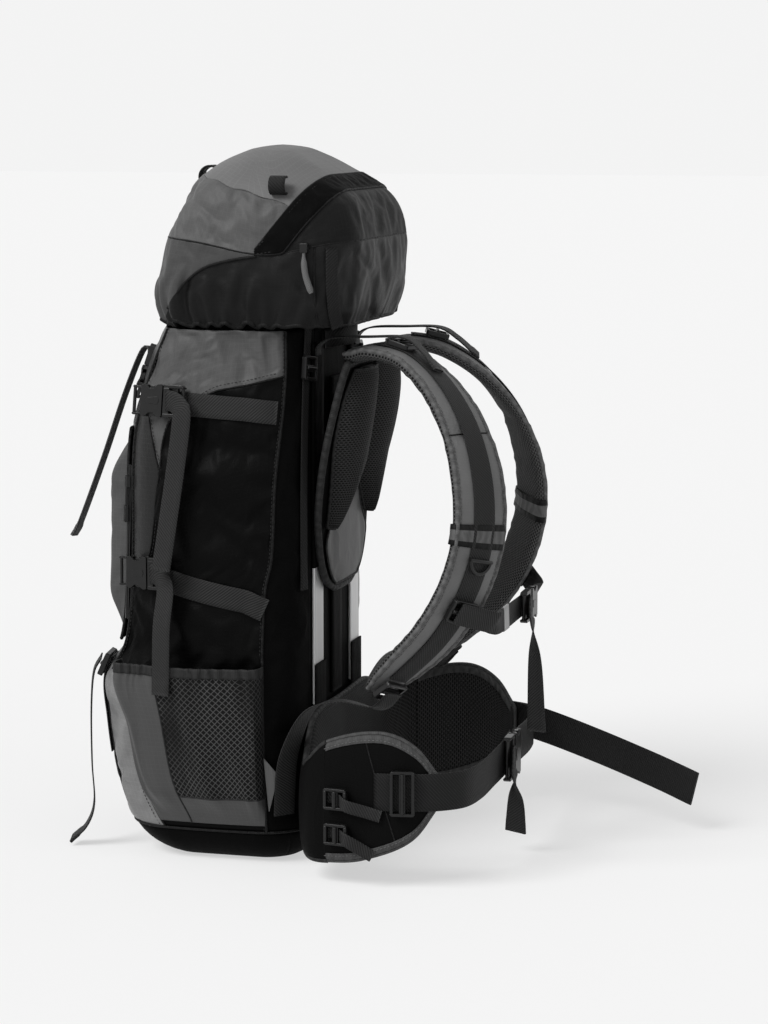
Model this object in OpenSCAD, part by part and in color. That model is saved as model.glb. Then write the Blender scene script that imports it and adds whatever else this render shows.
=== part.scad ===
// Hiking backpack with a floating lid, a sliding back harness and a padded hip belt.
// +Z is up, +Y points to the wearer and +X to the wearer's right.
// The origin lies on the floor under the middle of the bag.

/* [Bag] */
// Height of the sewn panels, from the floor to the collar seam
bag_h = 578; // [500:1:640]
// Width between the two side panels
bag_w = 300; // [260:1:340]
// Reach of the bag in front of the origin, at its fullest
bag_front = 126; // [110:1:145]
// Reach of the bag behind the origin, at the back panel
bag_back = 103; // [90:1:120]
// Corner radius of the bag in plan
bag_corner = 55; // [40:1:65]
// Radius of the bottom edge
base_round = 30; // [15:1:40]
// Height of the bottom panel
base_h = 42; // [32:1:60]
// Crown of a stuffed side panel
side_bulge = 8; // [0:0.5:14]
// Thickness of the bag's fabric walls
wall = 3; // [2:0.1:4]
// Thickness of the padded back panel
back_pad = 7; // [5:0.5:10]
// Height of the collar above the panels
collar_h = 55; // [40:1:90]
// Diameter of the collar's drawcord
drawcord_d = 4; // [3:0.1:5]

/* [Pockets] */
// Bottom edge of the front pocket
pocket_low = 238; // [225:1:260]
// Distance from the collar seam down to the top edge of the front pocket
pocket_drop = 110; // [98:1:138]
// Depth of the front pocket
pocket_depth = 17; // [10:0.5:22]
// Bottom edge of the mesh side pockets
mesh_low = 48; // [46:1:70]
// Top edge of the mesh side pockets
mesh_high = 214; // [180:1:230]
// Depth of the mesh side pockets
mesh_depth = 16; // [10:0.5:20]
// Thickness of pocket fabric
pocket_wall = 2; // [1.5:0.1:3]

/* [Lid] */
// Height of the lid's hem above the collar seam
lid_gap = 5; // [3:0.5:10]
// Height of the lid above its hem
lid_h = 186; // [165:1:200]
// Height of the lid's skirt
lid_skirt_h = 92; // [85:1:110]
// Width of the lid at its skirt
lid_w = 284; // [270:1:310]
// Reach of the lid in front of the origin
lid_front = 66; // [62:1:80]
// Reach of the lid behind the origin, over the harness
lid_back = 160; // [150:1:175]
// Thickness of the lid's fabric
lid_wall = 3; // [2:0.1:4]
// Width of the flap over the lid's zip
lid_band_w = 26; // [18:1:34]

/* [Harness] */
// Distance from the collar seam down to the top edge of the yoke
yoke_drop = 37; // [28:1:50]
// Height of the yoke
yoke_h = 251; // [235:1:270]
// Width of the yoke
yoke_w = 204; // [180:1:224]
// Thickness of the yoke's foam board
yoke_t = 8; // [5:0.5:11]
// Stand-off of the yoke's top from the back panel
yoke_lean = 34; // [20:1:44]
// Thickness of the mesh back pads
lobe_t = 28; // [16:1:30]
// Distance between the two shoulder pads at the yoke
shoulder_gap = 120; // [108:1:130]
// How much further out a shoulder pad's lower end lies
shoulder_spread = 76; // [60:1:84]
// How far the shoulder pads stand out from the yoke
shoulder_reach = 147; // [130:1:160]
// Height from the yoke's top down to the pads' lower ends
shoulder_drop = 341; // [320:1:355]
// Width of a shoulder pad
shoulder_w = 68; // [56:1:76]
// Thickness of a shoulder pad
shoulder_t = 16; // [12:1:20]
// Width of a frame stay
stay_w = 34; // [20:1:40]
// Thickness of a frame stay
stay_t = 3; // [2:0.5:4]
// Distance between the two stays
stay_gap = 144; // [120:1:160]
// Width of the spine strip that the yoke slides on
spine_w = 38; // [30:1:46]

/* [Hip belt] */
// Thickness of the lumbar pad and the wings
belt_t = 15; // [11:1:18]
// Height of the lumbar pad's top edge
lumbar_top = 156; // [140:1:165]
// Height of the belt's bottom edge
belt_low = 26; // [15:1:36]
// Height of the top of a wing
wing_top = 166; // [150:1:172]

/* [Webbing] */
// Width of the strap webbing
web_w = 25; // [20:1:28]
// Width of the hip belt webbing
belt_web_w = 40; // [32:1:45]
// Reach of the long belt tail beyond the wings' hinge lines
belt_tail = 340; // [270:1:390]
// Thickness of the webbing
web_t = 1.6; // [1.2:0.1:2]
// Thickness of a buckle
buckle_t = 9; // [8:0.5:11]

/* [Fits] */
// Gap along each sewn seam and under each strap
seam = 0.5; // [0.4:0.1:0.8]
// Running clearance between moving pieces
play = 0.4; // [0.3:0.05:0.6]

/* [Hidden] */
$fn = 32;
web_off = seam;                            // underside of a strap above the fabric
buckle_off = web_off + web_t + play;       // underside of a buckle above the fabric
pocket_high = bag_h - pocket_drop;         // top edge of the front pocket
lid_low = bag_h + lid_gap;                 // hem of the lid
lid_top_z = lid_low + lid_h;               // crown of the lid
stay_y = bag_back + seam;                  // front face of what lies on the back panel
stay_face = stay_y + stay_t;
yoke_top = bag_h - yoke_drop;
yoke_low = yoke_top - yoke_h;
yoke_back = stay_face + play;              // rear face of the yoke's lower half
hinge_x = bag_w / 2 + 41;                  // hinge line of a belt wing
hinge_y = bag_back + 47;
belt_y = bag_back + 197;                   // belt webbing across the wearer's front
belt_z = (wing_top + belt_low) / 2 + 10;

// Shapes of the bag: share of the height, share of the driving dimension
width_shape = [[0, 0.86], [0.08, 0.93], [0.26, 0.985], [0.45, 1], [0.7, 1], [0.87, 0.955], [1, 0.88]];
front_shape = [[0, 0.6], [0.026, 0.69], [0.08, 0.83], [0.16, 0.93], [0.26, 0.985], [0.34, 1], [0.41, 0.85],
    [0.5, 0.79], [0.6, 0.77], [0.74, 0.765], [0.81, 0.745], [0.87, 0.685], [0.94, 0.59], [1, 0.485]];

// Ring columns: each side of the bag has its two half corners and its flat
arc_n = 4;
flat_n = 4;
side_n = 2 * arc_n + flat_n;
ring_n = 4 * side_n;

// Curves

function mix(a, b, k) = a + (b - a) * k;
function unit(v) = v / norm(v);
function row_of(t, T, i = 0) = (i >= len(T) - 2 || t < T[i + 1][0]) ? i : row_of(t, T, i + 1);
function slope(T, i) = let (a = max(i - 1, 0), b = min(i + 1, len(T) - 1))
    (T[b][1] - T[a][1]) / (T[b][0] - T[a][0]);
// Smooth curve through a table of [place, value] rows, where a value is a number or a point
function smooth(t, T) = let (i = row_of(t, T), h = T[i + 1][0] - T[i][0],
        k = min(max((t - T[i][0]) / h, 0), 1), k2 = k * k, k3 = k2 * k)
    T[i][1] * (2 * k3 - 3 * k2 + 1) + slope(T, i) * h * (k3 - 2 * k2 + k)
    + T[i + 1][1] * (3 * k2 - 2 * k3) + slope(T, i + 1) * h * (k3 - k2);
function numbered(P) = [for (i = [0:len(P) - 1]) [i, P[i]]];
// n + 1 points along a smooth route through the points P
function route(P, n) = let (T = numbered(P)) [for (k = [0:n]) smooth((len(P) - 1) * k / n, T)];
function heading(R, i) = unit(R[min(i + 1, len(R) - 1)] - R[max(i - 1, 0)]);
function steps(a, b, n) = [for (k = [0:n]) mix(a, b, k / n)];

// Solids from points

function volume(P, F) = [for (f = F) P[f[0]] * cross(P[f[1]], P[f[2]])] * [for (f = F) 1];
// Closed solid of triangles, turned the right way out
module closed(P, F) {
    polyhedron(P, volume(P, F) < 0 ? F : [for (f = F) [f[0], f[2], f[1]]], convexity = 6);
}
function quad(a, b, c, d) = [[a, b, c], [a, c, d]];
function flat(L) = [for (group = L) for (item = group) item];
// Solid between two grids of points with the same rows and columns
module skin(A, B) {
    R = len(A) - 1;
    C = len(A[0]) - 1;
    M = (R + 1) * (C + 1);
    function a(r, c) = r * (C + 1) + c;
    function b(r, c) = M + r * (C + 1) + c;
    closed(concat(flat(A), flat(B)), flat(concat(
        [for (r = [0:R - 1], c = [0:C - 1]) quad(a(r, c), a(r, c + 1), a(r + 1, c + 1), a(r + 1, c))],
        [for (r = [0:R - 1], c = [0:C - 1]) quad(b(r, c), b(r + 1, c), b(r + 1, c + 1), b(r, c + 1))],
        [for (c = [0:C - 1]) quad(a(0, c + 1), a(0, c), b(0, c), b(0, c + 1))],
        [for (c = [0:C - 1]) quad(a(R, c), a(R, c + 1), b(R, c + 1), b(R, c))],
        [for (r = [0:R - 1]) quad(a(r, 0), a(r + 1, 0), b(r + 1, 0), b(r, 0))],
        [for (r = [0:R - 1]) quad(a(r + 1, C), a(r, C), b(r, C), b(r + 1, C))])));
}
function tube_sides(S, n, m) = [for (i = [0:m - 1], j = [0:n - 1])
    quad(i * n + j, i * n + (j + 1) % n, (i + 1) % S * n + (j + 1) % n, (i + 1) % S * n + j)];
// Solid through a list of rings, with its two ends closed
module loft(S) {
    n = len(S[0]);
    last = (len(S) - 1) * n;
    closed(flat(S), concat(flat(tube_sides(len(S), n, len(S) - 1)),
        [for (j = [1:n - 2]) [0, j + 1, j]], [for (j = [1:n - 2]) [last, last + j, last + j + 1]]));
}
// Solid through a list of rings that comes round to its first ring again
module loop_loft(S) {
    closed(flat(S), flat(tube_sides(len(S), len(S[0]), len(S))));
}
// Flat webbing along the route R, where V gives its width direction at each point
module strip(R, V, w, t = web_t) {
    loft([for (i = [0:len(R) - 1]) let (T = heading(R, i), W = unit(V[i] - T * (V[i] * T)),
            N = cross(T, W)) [for (k = [[1, 1], [-1, 1], [-1, -1], [1, -1]])
        R[i] + W * k[0] * w / 2 + N * k[1] * t / 2]]);
}
module webbing(P, V, w, n = 16, t = web_t) {
    strip(route(P, n), route(V, n), w, t);
}
module frame_at(p, x, n) {
    y = cross(n, x);
    multmatrix([[x.x, y.x, n.x, p.x], [x.y, y.y, n.y, p.y], [x.z, y.z, n.z, p.z], [0, 0, 0, 1]]) children();
}
module flipped() {
    mirror([1, 0, 0]) children();
}
module both() {
    children();
    flipped() children();
}

// Surface of the bag

function half_w(z) = bag_w / 2 * smooth(z / bag_h, width_shape);
function front_y(z) = -bag_front * smooth(z / bag_h, front_shape);
function toe(z) = z >= base_round ? 0 : base_round - sqrt(base_round ^ 2 - (base_round - max(z, 0)) ^ 2);
function crown(k) = 4 * k * (1 - k);
function bulge(z) = side_bulge * sin(180 * min(z / bag_h, 1));
function arc(cx, cy, r, a0, a1, n) = [for (k = [0:n]) let (a = mix(a0, a1, k / n))
    [cx + r * cos(a), cy + r * sin(a)]];
// One ring round the bag at height z, o outside the fabric, from the rear right corner by the front
function ring(z, o) = let (e = o - toe(z), w = half_w(z), f = front_y(z), b = bag_back, c = bag_corner,
        r = c + e, B = bulge(z), inner = [for (j = [1:flat_n - 1]) j / flat_n])
    concat(arc(w - c, b - c, r, 45, 0, arc_n),
        [for (k = inner) [w + e + B * crown(k), mix(b - c, f + c, k)]],
        arc(w - c, f + c, r, 0, -90, 2 * arc_n),
        [for (k = inner) [mix(w - c, c - w, k), f - e - B * crown(k) / 2]],
        arc(c - w, f + c, r, -90, -180, 2 * arc_n),
        [for (k = inner) [-w - e - B * crown(k), mix(f + c, b - c, k)]],
        arc(c - w, b - c, r, 180, 90, 2 * arc_n),
        [for (k = inner) [mix(c - w, w - c, k), b + e]],
        [for (k = [0:arc_n - 1]) let (a = 90 - 45 * k / arc_n) [w - c + r * cos(a), b - c + r * sin(a)]]);
// Point on the bag at height z and column c, o outside the fabric
function on_bag(z, c, o) = let (P = ring(z, o), i = floor(c),
        q = mix(P[i % ring_n], P[(i + 1) % ring_n], c - i)) [q.x, q.y, z];
function columns(c0, c1) = concat([c0], [for (i = [floor(c0) + 1:ceil(c1) - 1]) i], [c1]);
// Piece of fabric on the bag, from column c0 to c1 and through the heights Z
module patch(c0, c1, Z, o0, o1) {
    C = columns(c0, c1);
    skin([for (z = Z) [for (c = C) on_bag(z, c, o1)]], [for (z = Z) [for (c = C) on_bag(z, c, o0)]]);
}
// Strap round the bag, whose middle runs from height z0 at column c0 to z1 at column c1
module strap_round(c0, c1, z0, z1, w, o0, o1) {
    C = columns(c0, c1);
    function height(c, v) = mix(z0, z1, (c - c0) / (c1 - c0)) + v * w / 2;
    skin([for (v = [-1, 0, 1]) [for (c = C) on_bag(height(c, v), c, o1)]],
        [for (v = [-1, 0, 1]) [for (c = C) on_bag(height(c, v), c, o0)]]);
}
function along(z, c) = unit(on_bag(z, c + 0.2, 0) - on_bag(z, c - 0.2, 0));
function down(z, c) = unit(on_bag(z - 5, c, 0) - on_bag(z + 5, c, 0));
// Frame on the bag whose x runs round it, towards higher columns
module on_side(z, c, o) {
    x = along(z, c);
    n = unit(cross(x, down(z, c)));
    frame_at(on_bag(z, c, 0) + n * o, x, n) children();
}
// Frame on the bag whose x runs down it, and a point v in that frame
module on_front(z, c, o) {
    x = down(z, c);
    n = unit(cross(along(z, c), x));
    frame_at(on_bag(z, c, 0) + n * o, x, n) children();
}
function in_front(z, c, v) = let (x = down(z, c), n = unit(cross(along(z, c), x)))
    on_bag(z, c, 0) + x * v.x + cross(n, x) * v.y + n * v.z;

// Columns of the sides, and where a seam ends a panel
seam_c = 0.05;
right_c = [0, side_n];
front_c = [side_n, 2 * side_n];
back_c = [3 * side_n, 4 * side_n];
panel_z = steps(base_h + seam, bag_h, 19);

// Buckles. x runs along the strap, y across it and z away from the fabric.

rail = 5;                      // frame of a buckle beside its strap
shell = 2;                     // thickness of a female half's hollow body
female_body = 26;
female_long = 37;
female_slot = [29.5, 33.5];
female_window = [8, 18];
tongue = 17;                   // reach of a male half into its female half
male_long = 25;
male_slots = [[-22, -17.5], [-12.5, -8]];
prong = 3;
bar_r = 2;
ladder_long = 26;
ladder_slots = [[-9.5, -3.5], [3.5, 9.5]];
ladder_t = buckle_t - 1;
male_top = buckle_t - 1 + play + web_t / 2;    // middle of a tail that lies on a male half
module box(x0, x1, y, z0, z1) {
    translate([x0, -y, z0]) cube([x1 - x0, 2 * y, z1 - z0]);
}
// Female half, whose mouth is at x = 0
module female(w) {
    y = w / 2 + rail;
    difference() {
        union() {
            box(0, female_body, y, 0, buckle_t);
            box(female_body, female_long, y, shell + seam, buckle_t - shell - seam);
        }
        box(-1, tongue + 3, w / 2 + shell, shell, buckle_t - shell);
        for (s = [-1, 1]) translate([0, s * y, 0])
            box(female_window[0], female_window[1], rail / 2, shell, buckle_t - shell);
        box(female_slot[0], female_slot[1], w / 2 + 1, -1, buckle_t + 1);
        translate([5, 0, buckle_t - 3]) cylinder(r = 2 * bar_r, h = 4);
    }
}
// Male half, whose tongue reaches into a female half at x = 0
module male(w) {
    top = buckle_t - 1;
    difference() {
        box(-male_long, -seam, w / 2 + rail, 0, top);
        for (m = male_slots) box(m[0], m[1], w / 2 + 1, -1, buckle_t);
        box(male_slots[0][1], male_slots[1][0], w / 2 + 1, top - 2.5, buckle_t);
    }
    box(-seam, tongue, prong - seam, prong, buckle_t - prong);
    for (s = [-1, 1]) translate([0, s * (w / 2 - seam), 0])
        box(-seam, tongue, prong / 2, shell + play, buckle_t - shell - play);
}
// Ladder buckle with three bars
module ladder(w) {
    difference() {
        box(-ladder_long / 2, ladder_long / 2, w / 2 + rail - 1, 0, buckle_t - prong);
        for (m = ladder_slots) box(m[0], m[1], w / 2 + 1, -1, buckle_t);
    }
    translate([0, w / 2 + 1, ladder_t - bar_r]) rotate([90, 0, 0]) cylinder(r = bar_r, h = w + 2);
}

// Bag

module back_panel() {
    color([0.05, 0.05, 0.055]) patch(back_c[0] + seam_c, back_c[1] - seam_c, panel_z, -back_pad, 0);
}
module side_panel_right() {
    color([0.16, 0.16, 0.17]) patch(right_c[0] + seam_c, right_c[1] - seam_c, panel_z, -wall, 0);
}
module front_panel() {
    color([0.3, 0.3, 0.31]) patch(front_c[0] + seam_c, front_c[1] - seam_c, panel_z, -wall, 0);
}
module bottom_panel() {
    edge = [for (k = [0:5]) base_round * (1 - cos(90 * k / 5))];
    outer = concat(edge, [base_h]);
    last = len(outer) - 1;
    function level(z, o, up) = [for (p = ring(z, o)) [p.x, p.y, z + up]];
    color([0.04, 0.04, 0.045]) loft(concat([for (z = outer) level(z, 0, 0)],
        [for (i = [last:-1:0]) level(outer[i], -wall, wall * (1 - outer[i] / base_h))]));
}
// Ring round the collar at height z, o outside the bag's fabric, where the drawcord pulls its front back
collar_lean = 11;
cord_z = bag_h + collar_h - 15;
cord_off = -6 + seam;
function collar_ring(z, o) = let (k = collar_lean * (z - bag_h) / collar_h / (bag_back - front_y(bag_h)))
    [for (p = ring(bag_h, o)) [p.x, p.y + k * (bag_back - p.y), z]];
module collar() {
    low = bag_h + seam;
    high = low + collar_h;
    color([0.06, 0.06, 0.065]) loop_loft([collar_ring(low, -6), collar_ring(high, -6),
        collar_ring(high, -6 - wall), collar_ring(low, -6 - wall)]);
}
// Cord round the top of the collar, held by it all the way
module collar_drawcord() {
    r = drawcord_d / 2;
    section = [for (k = [0:5]) [cos(60 * k), sin(60 * k)] * r];
    color([0.12, 0.12, 0.12]) loop_loft([for (s = section) collar_ring(cord_z + s.y, cord_off + r + s.x)]);
}
// Cord lock on the rear of the collar
module cord_lock() {
    color([0.03, 0.03, 0.03]) translate([0, bag_back + cord_off + drawcord_d + play, cord_z])
        rotate([-90, 0, 0]) difference() {
            cylinder(r = 7, h = 4);
            translate([0, 0, 1]) cylinder(r = bar_r, h = 4);
        }
}
module frame_sheet() {
    x = half_w(bag_h) - bag_corner;
    y = bag_back - back_pad - seam - 2;
    color([0.5, 0.5, 0.5]) translate([-x, y, base_h + 8]) cube([2 * x, 2, bag_h - base_h - 16]);
}
stay_low = lumbar_top + 14;
module stays() {
    color([0.72, 0.72, 0.72]) both() translate([stay_gap / 2 - stay_w / 2, stay_y, stay_low])
        cube([stay_w, stay_t, yoke_top - stay_low]);
}
// Fabric sleeves that the lower ends of the stays stand in
module stay_pockets() {
    h = 30;
    t = 2;
    color([0.07, 0.07, 0.075]) both() translate([stay_gap / 2, stay_y, stay_low]) difference() {
        translate([-stay_w / 2 - t - seam, 0, -t - seam])
            cube([stay_w + 2 * (t + seam), stay_t + seam + t, h]);
        translate([-stay_w / 2 - seam, -1, -seam]) cube([stay_w + 2 * seam, stay_t + seam + 1, h + t]);
    }
}
module spine_strip() {
    color([0.09, 0.09, 0.095]) translate([-spine_w / 2, stay_y, stay_low])
        cube([spine_w, stay_t, yoke_top - 20 - stay_low]);
}
// Grab handle across the top of the back panel, sewn down at its two ends
module haul_loop() {
    x = 50;
    y = bag_back + 2 * seam + web_t + 0.3;
    z = bag_h - 14;
    P = [[-x, y, z], [-x + 14, y, z], [-x / 2, y + 15, z + 2], [0, y + 20, z + 3],
        [x / 2, y + 15, z + 2], [x - 14, y, z], [x, y, z]];
    color([0.05, 0.05, 0.05]) webbing(P, [for (p = P) [0, 0, 1]], web_w - 5, 24, 2 * web_t);
}

// Pockets and zips on the bag

pocket_off = 2.5 * seam;
pocket_c = [front_c[0] + 2.2, front_c[1] - 2.2];
// Shell of a pocket over part of the bag, deepest in its middle and open where top is true
module pocket(c0, c1, z0, z1, depth, open_top) {
    C = columns(c0, c1);
    Z = steps(z0, z1, 8);
    function lift(z, c) = let (u = (c - c0) / (c1 - c0), v = (z - z0) / (z1 - z0))
        depth * min(1, 3 * crown(u)) * min(1, 4 * v, open_top ? 1 : 4 * (1 - v));
    skin([for (z = Z) [for (c = C) on_bag(z, c, pocket_off + pocket_wall + lift(z, c))]],
        [for (z = Z) [for (c = C) on_bag(z, c, pocket_off + lift(z, c))]]);
}
module front_pocket() {
    color([0.36, 0.36, 0.37]) pocket(pocket_c[0], pocket_c[1], pocket_low, pocket_high, pocket_depth, false);
}
zip_c = front_c[0] + 1.35;
zip_z = [pocket_low + 24, pocket_high - 38];
zip_rise = 0.9;
function zip_point(z) = on_bag(z, zip_c, zip_rise);
zip_run = unit(zip_point(zip_z[1]) - zip_point(zip_z[0]));
zip_long = norm(zip_point(zip_z[1]) - zip_point(zip_z[0]));
zip_side = on_bag(zip_z[0], zip_c, 1) - on_bag(zip_z[0], zip_c, 0);
zip_out = unit(cross(cross(zip_run, zip_side), zip_run));
// Frame at the low end of the right pocket zip, with x up the track and z outwards
module on_zip() {
    frame_at(zip_point(zip_z[0]), zip_run, zip_out) children();
}
zip_w = 12;
module zip_tracks() {
    color([0.03, 0.03, 0.03]) both() on_zip() {
        box(0, zip_long, zip_w / 2, 0, 1);
        box(0, zip_long, 2.2, 1, 2.6);
    }
}
// Slider on the coil, with its pull tab and cord
module zip_slider(x) {
    color([0.1, 0.1, 0.1]) on_zip() translate([x, 0, 0]) {
        difference() {
            box(-6, 6, 5, 1 + play, 6);
            box(-7, 7, 2.2 + play, 0, 2.6 + play);
        }
        box(-26, -5.5, 2.5, 4, 5.6);
        box(-44, -26, 4.5, 3.2, 6.4);
    }
}
zip_rest = zip_z[1] - zip_z[0] - 18;
module zip_slider_right() {
    zip_slider(zip_rest);
}
mesh_c = [2.6, 11.4];
module mesh_pocket_right() {
    color([0.2, 0.2, 0.2]) pocket(mesh_c[0], mesh_c[1], mesh_low, mesh_high, mesh_depth, true);
}

// Side straps, upper and lower, with their buckles near the front corner

comp_c = [8.9, 9.4];
comp_front_c = 12.8;
comp_drop = [76, 260];                     // buckles below the collar seam
comp_rear_drop = [86, 296];                // rear ends of the straps below the collar seam
comp_z = [for (drop = comp_drop) bag_h - drop];
comp_rear_z = [for (drop = comp_rear_drop) bag_h - drop];
module side_webbing() {
    color([0.11, 0.11, 0.115]) both() for (k = [0, 1]) {
        strap_round(1.2, comp_c[k] - 0.2, comp_rear_z[k], comp_z[k], web_w, web_off, web_off + web_t);
        strap_round(comp_c[k] + 0.2, comp_front_c, comp_z[k], comp_z[k], web_w, web_off, web_off + web_t);
    }
}
// Male half with the loose tail that hangs drop below the buckle, stand further out at its end
module side_male(k, drop, swing, stand) {
    P = [[-5, 0, 0], [-13, 0, 0], [-22, 5, 2], [-27, 17, 3], [-26 - swing * 0.3, drop * 0.45, 1 + stand * 0.7],
        [-26 - swing, drop, stand]];
    V = [[0, 1, 0], [0, 1, 0], [0.6, 1, 0], [1, 0.3, 0], [1, 0, 0], [1, 0, 0]];
    color([0.05, 0.05, 0.05]) on_side(comp_z[k], comp_c[k], buckle_off) {
        male(web_w);
        translate([0, 0, male_top]) webbing(P, V, web_w - 3, 15);
    }
}
module side_male_upper_right() {
    side_male(0, 180, -14, 0);
}
module side_male_lower_right() {
    side_male(1, 128, 0, 12);
}

// Webbing on the front: bottom straps with hanging tails, the lid buckles' tabs and a lash ladder

bottom_c = front_c[0] + 3.4;
bottom_z = mesh_high - 8;
lid_strap_x = 66;
lid_strap_z = bag_h - 48;
lid_flat = half_w(lid_strap_z) - bag_corner;
lid_strap_c = front_c[0] + arc_n + flat_n * (lid_flat - lid_strap_x) / (2 * lid_flat);
module front_webbing() {
    over = buckle_off + ladder_t + 2 * seam + web_t + 1;
    start = in_front(bottom_z, bottom_c, [-3, 0, over]);
    tail = [start, in_front(bottom_z, bottom_c, [18, 0, over + 1]),
        [start.x, start.y - 13, start.z - 60], [start.x, start.y - 13, 95], [start.x, start.y - 11, 50],
        [start.x, start.y - 20, 24], [start.x, start.y - 38, 6]];
    mid = (pocket_c[0] + pocket_c[1]) / 2;
    o = pocket_off + pocket_wall + pocket_depth + seam;
    edge = 60;
    lift = web_off + seam;
    color([0.08, 0.08, 0.08]) {
        both() {
            patch(bottom_c - 0.28, bottom_c + 0.28, steps(110, bottom_z + 10, 8), lift, lift + web_t);
            webbing(tail, [for (p = tail) [1, 0.4, 0]], web_w - 5, 16);
            patch(lid_strap_c - 0.28, lid_strap_c + 0.28, steps(pocket_high + 3, lid_strap_z - 2, 3),
                web_off, web_off + web_t);
        }
        patch(mid - 0.3, mid + 0.3, steps(pocket_low + edge, pocket_high - edge, 6), o, o + web_t);
    }
}
module bottom_adjusters() {
    color([0.05, 0.05, 0.05]) both() on_front(bottom_z, bottom_c, buckle_off + seam) ladder(web_w);
}
module strap_females() {
    color([0.04, 0.04, 0.04]) both() {
        for (k = [0, 1]) on_side(comp_z[k], comp_c[k], buckle_off) female(web_w);
        on_front(lid_strap_z, lid_strap_c, buckle_off) female(web_w);
    }
}

// Lid. Shares of its height, and of its half width, front reach and rear reach

lid_wide = [[0, 0.94], [0.12, 0.985], [0.35, 1], [0.6, 0.965], [0.8, 0.84], [0.92, 0.63], [1, 0.3]];
lid_fore = [[0, 0.92], [0.13, 1], [0.3, 0.95], [0.56, 0.74], [0.79, 0.46], [0.91, 0.1], [1, -0.4]];
lid_aft = [[0, 0.91], [0.1, 0.955], [0.26, 0.99], [0.47, 1], [0.65, 0.957], [0.77, 0.855], [0.89, 0.64],
    [1, 0.4]];
lid_corner = 54;
lid_split = lid_low + lid_skirt_h;
function lid_part(z) = (z - lid_low) / lid_h;
function lid_side(z) = lid_w / 2 * smooth(lid_part(z), lid_wide);
function lid_front_y(z) = -lid_front * smooth(lid_part(z), lid_fore);
function lid_back_y(z) = lid_back * smooth(lid_part(z), lid_aft);
function lid_ring(z, o) = let (w = lid_side(z), f = lid_front_y(z), b = lid_back_y(z),
        c = min(lid_corner, 0.42 * (b - f), 0.8 * w), r = c + o)
    concat(arc(w - c, b - c, r, 90, 0, 6), arc(w - c, f + c, r, 0, -90, 6),
        arc(c - w, f + c, r, -90, -180, 6), arc(c - w, b - c, r, 180, 90, 6));
// Side of the lid at height z and place y, where its rear corner rounds off
function lid_x(z, y) = let (in = max(0, y - lid_back_y(z) + lid_corner))
    lid_side(z) - lid_corner + sqrt(lid_corner ^ 2 - in ^ 2);
function lid_level(z, o, up = 0) = [for (p = lid_ring(z, o)) [p.x, p.y, z + up]];
skirt_z = steps(lid_low, lid_split - seam, 6);
// Shell over the lid from height z0 to its crown, between two offsets from its fabric
module lid_dome(z0, o0, o1) {
    Z = concat(steps(z0, lid_top_z - 30, 5), [lid_top_z - 18, lid_top_z - 8, lid_top_z]);
    n = len(Z) - 1;
    function up(i, o) = o * i / n;
    loft(concat([for (i = [n:-1:0]) lid_level(Z[i], o1, up(i, o1))],
        [for (i = [0:n]) lid_level(Z[i], o0, up(i, o0))]));
}
// The zip lies in a plane that rises from the lid's sides to its rear edge
zip_foot = [0, 83, lid_split];
zip_tilt = 52;
module zip_slab(y0, z0, z1) {
    translate(zip_foot) rotate([zip_tilt, 0, 0]) translate([-lid_w, y0, z0])
        cube([2 * lid_w, 4 * lid_w, z1 - z0]);
}
module lid_top() {
    color([0.4, 0.4, 0.41]) difference() {
        lid_dome(lid_split, -lid_wall, 0);
        zip_slab(-lid_w, -2 * lid_w, seam);
    }
}
module lid_rear() {
    color([0.05, 0.05, 0.055]) intersection() {
        lid_dome(lid_split, -lid_wall, 0);
        zip_slab(-lid_w, -2 * lid_w, 0);
    }
}
module lid_skirt() {
    last = len(skirt_z) - 1;
    color([0.08, 0.08, 0.085]) loop_loft(concat([for (z = skirt_z) lid_level(z, 0)],
        [for (i = [last:-1:0]) lid_level(skirt_z[i], -lid_wall)]));
}
// Floor of the lid pocket
module lid_floor() {
    z = lid_split - 8;
    o = -lid_wall - 1.4 * seam;
    color([0.1, 0.1, 0.1]) loft([lid_level(z, o), lid_level(z + 2, o)]);
}
// Flap over the zip
module lid_band() {
    color([0.07, 0.07, 0.075]) intersection() {
        lid_dome(lid_split + 1, seam, seam + 2);
        zip_slab(-lid_w, -lid_band_w / 2, lid_band_w / 2);
    }
}
pull_z = lid_split - 8;
pull_y = zip_foot.y + lid_band_w + 4;
pull_x = lid_x(pull_z, pull_y - 4) + seam;
pin_r = 1.3;
pull_w = 14;
module lid_zip_slider() {
    color([0.1, 0.1, 0.1]) translate([pull_x, pull_y, pull_z]) rotate([0, 90, 0]) difference() {
        translate([-5, -4, 0]) cube([10, 8, 8]);
        translate([0, 5, 5]) rotate([90, 0, 0]) cylinder(r = pin_r + play / 2, h = 10);
    }
}
// Pull that swings on a pin through the slider
module lid_zip_pull() {
    long = 50;
    color([0.35, 0.35, 0.35]) translate([pull_x + 5, pull_y, pull_z]) {
        rotate([90, 0, 0]) translate([0, 0, -pull_w / 2]) cylinder(r = pin_r, h = pull_w);
        for (y = [-pull_w / 2, pull_w / 2 - 2]) translate([-pin_r, y, -24]) cube([2 * pin_r, 2, 24]);
        translate([-pin_r, -pull_w / 2, -long]) cube([2 * pin_r, pull_w, long - 20]);
    }
}
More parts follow.
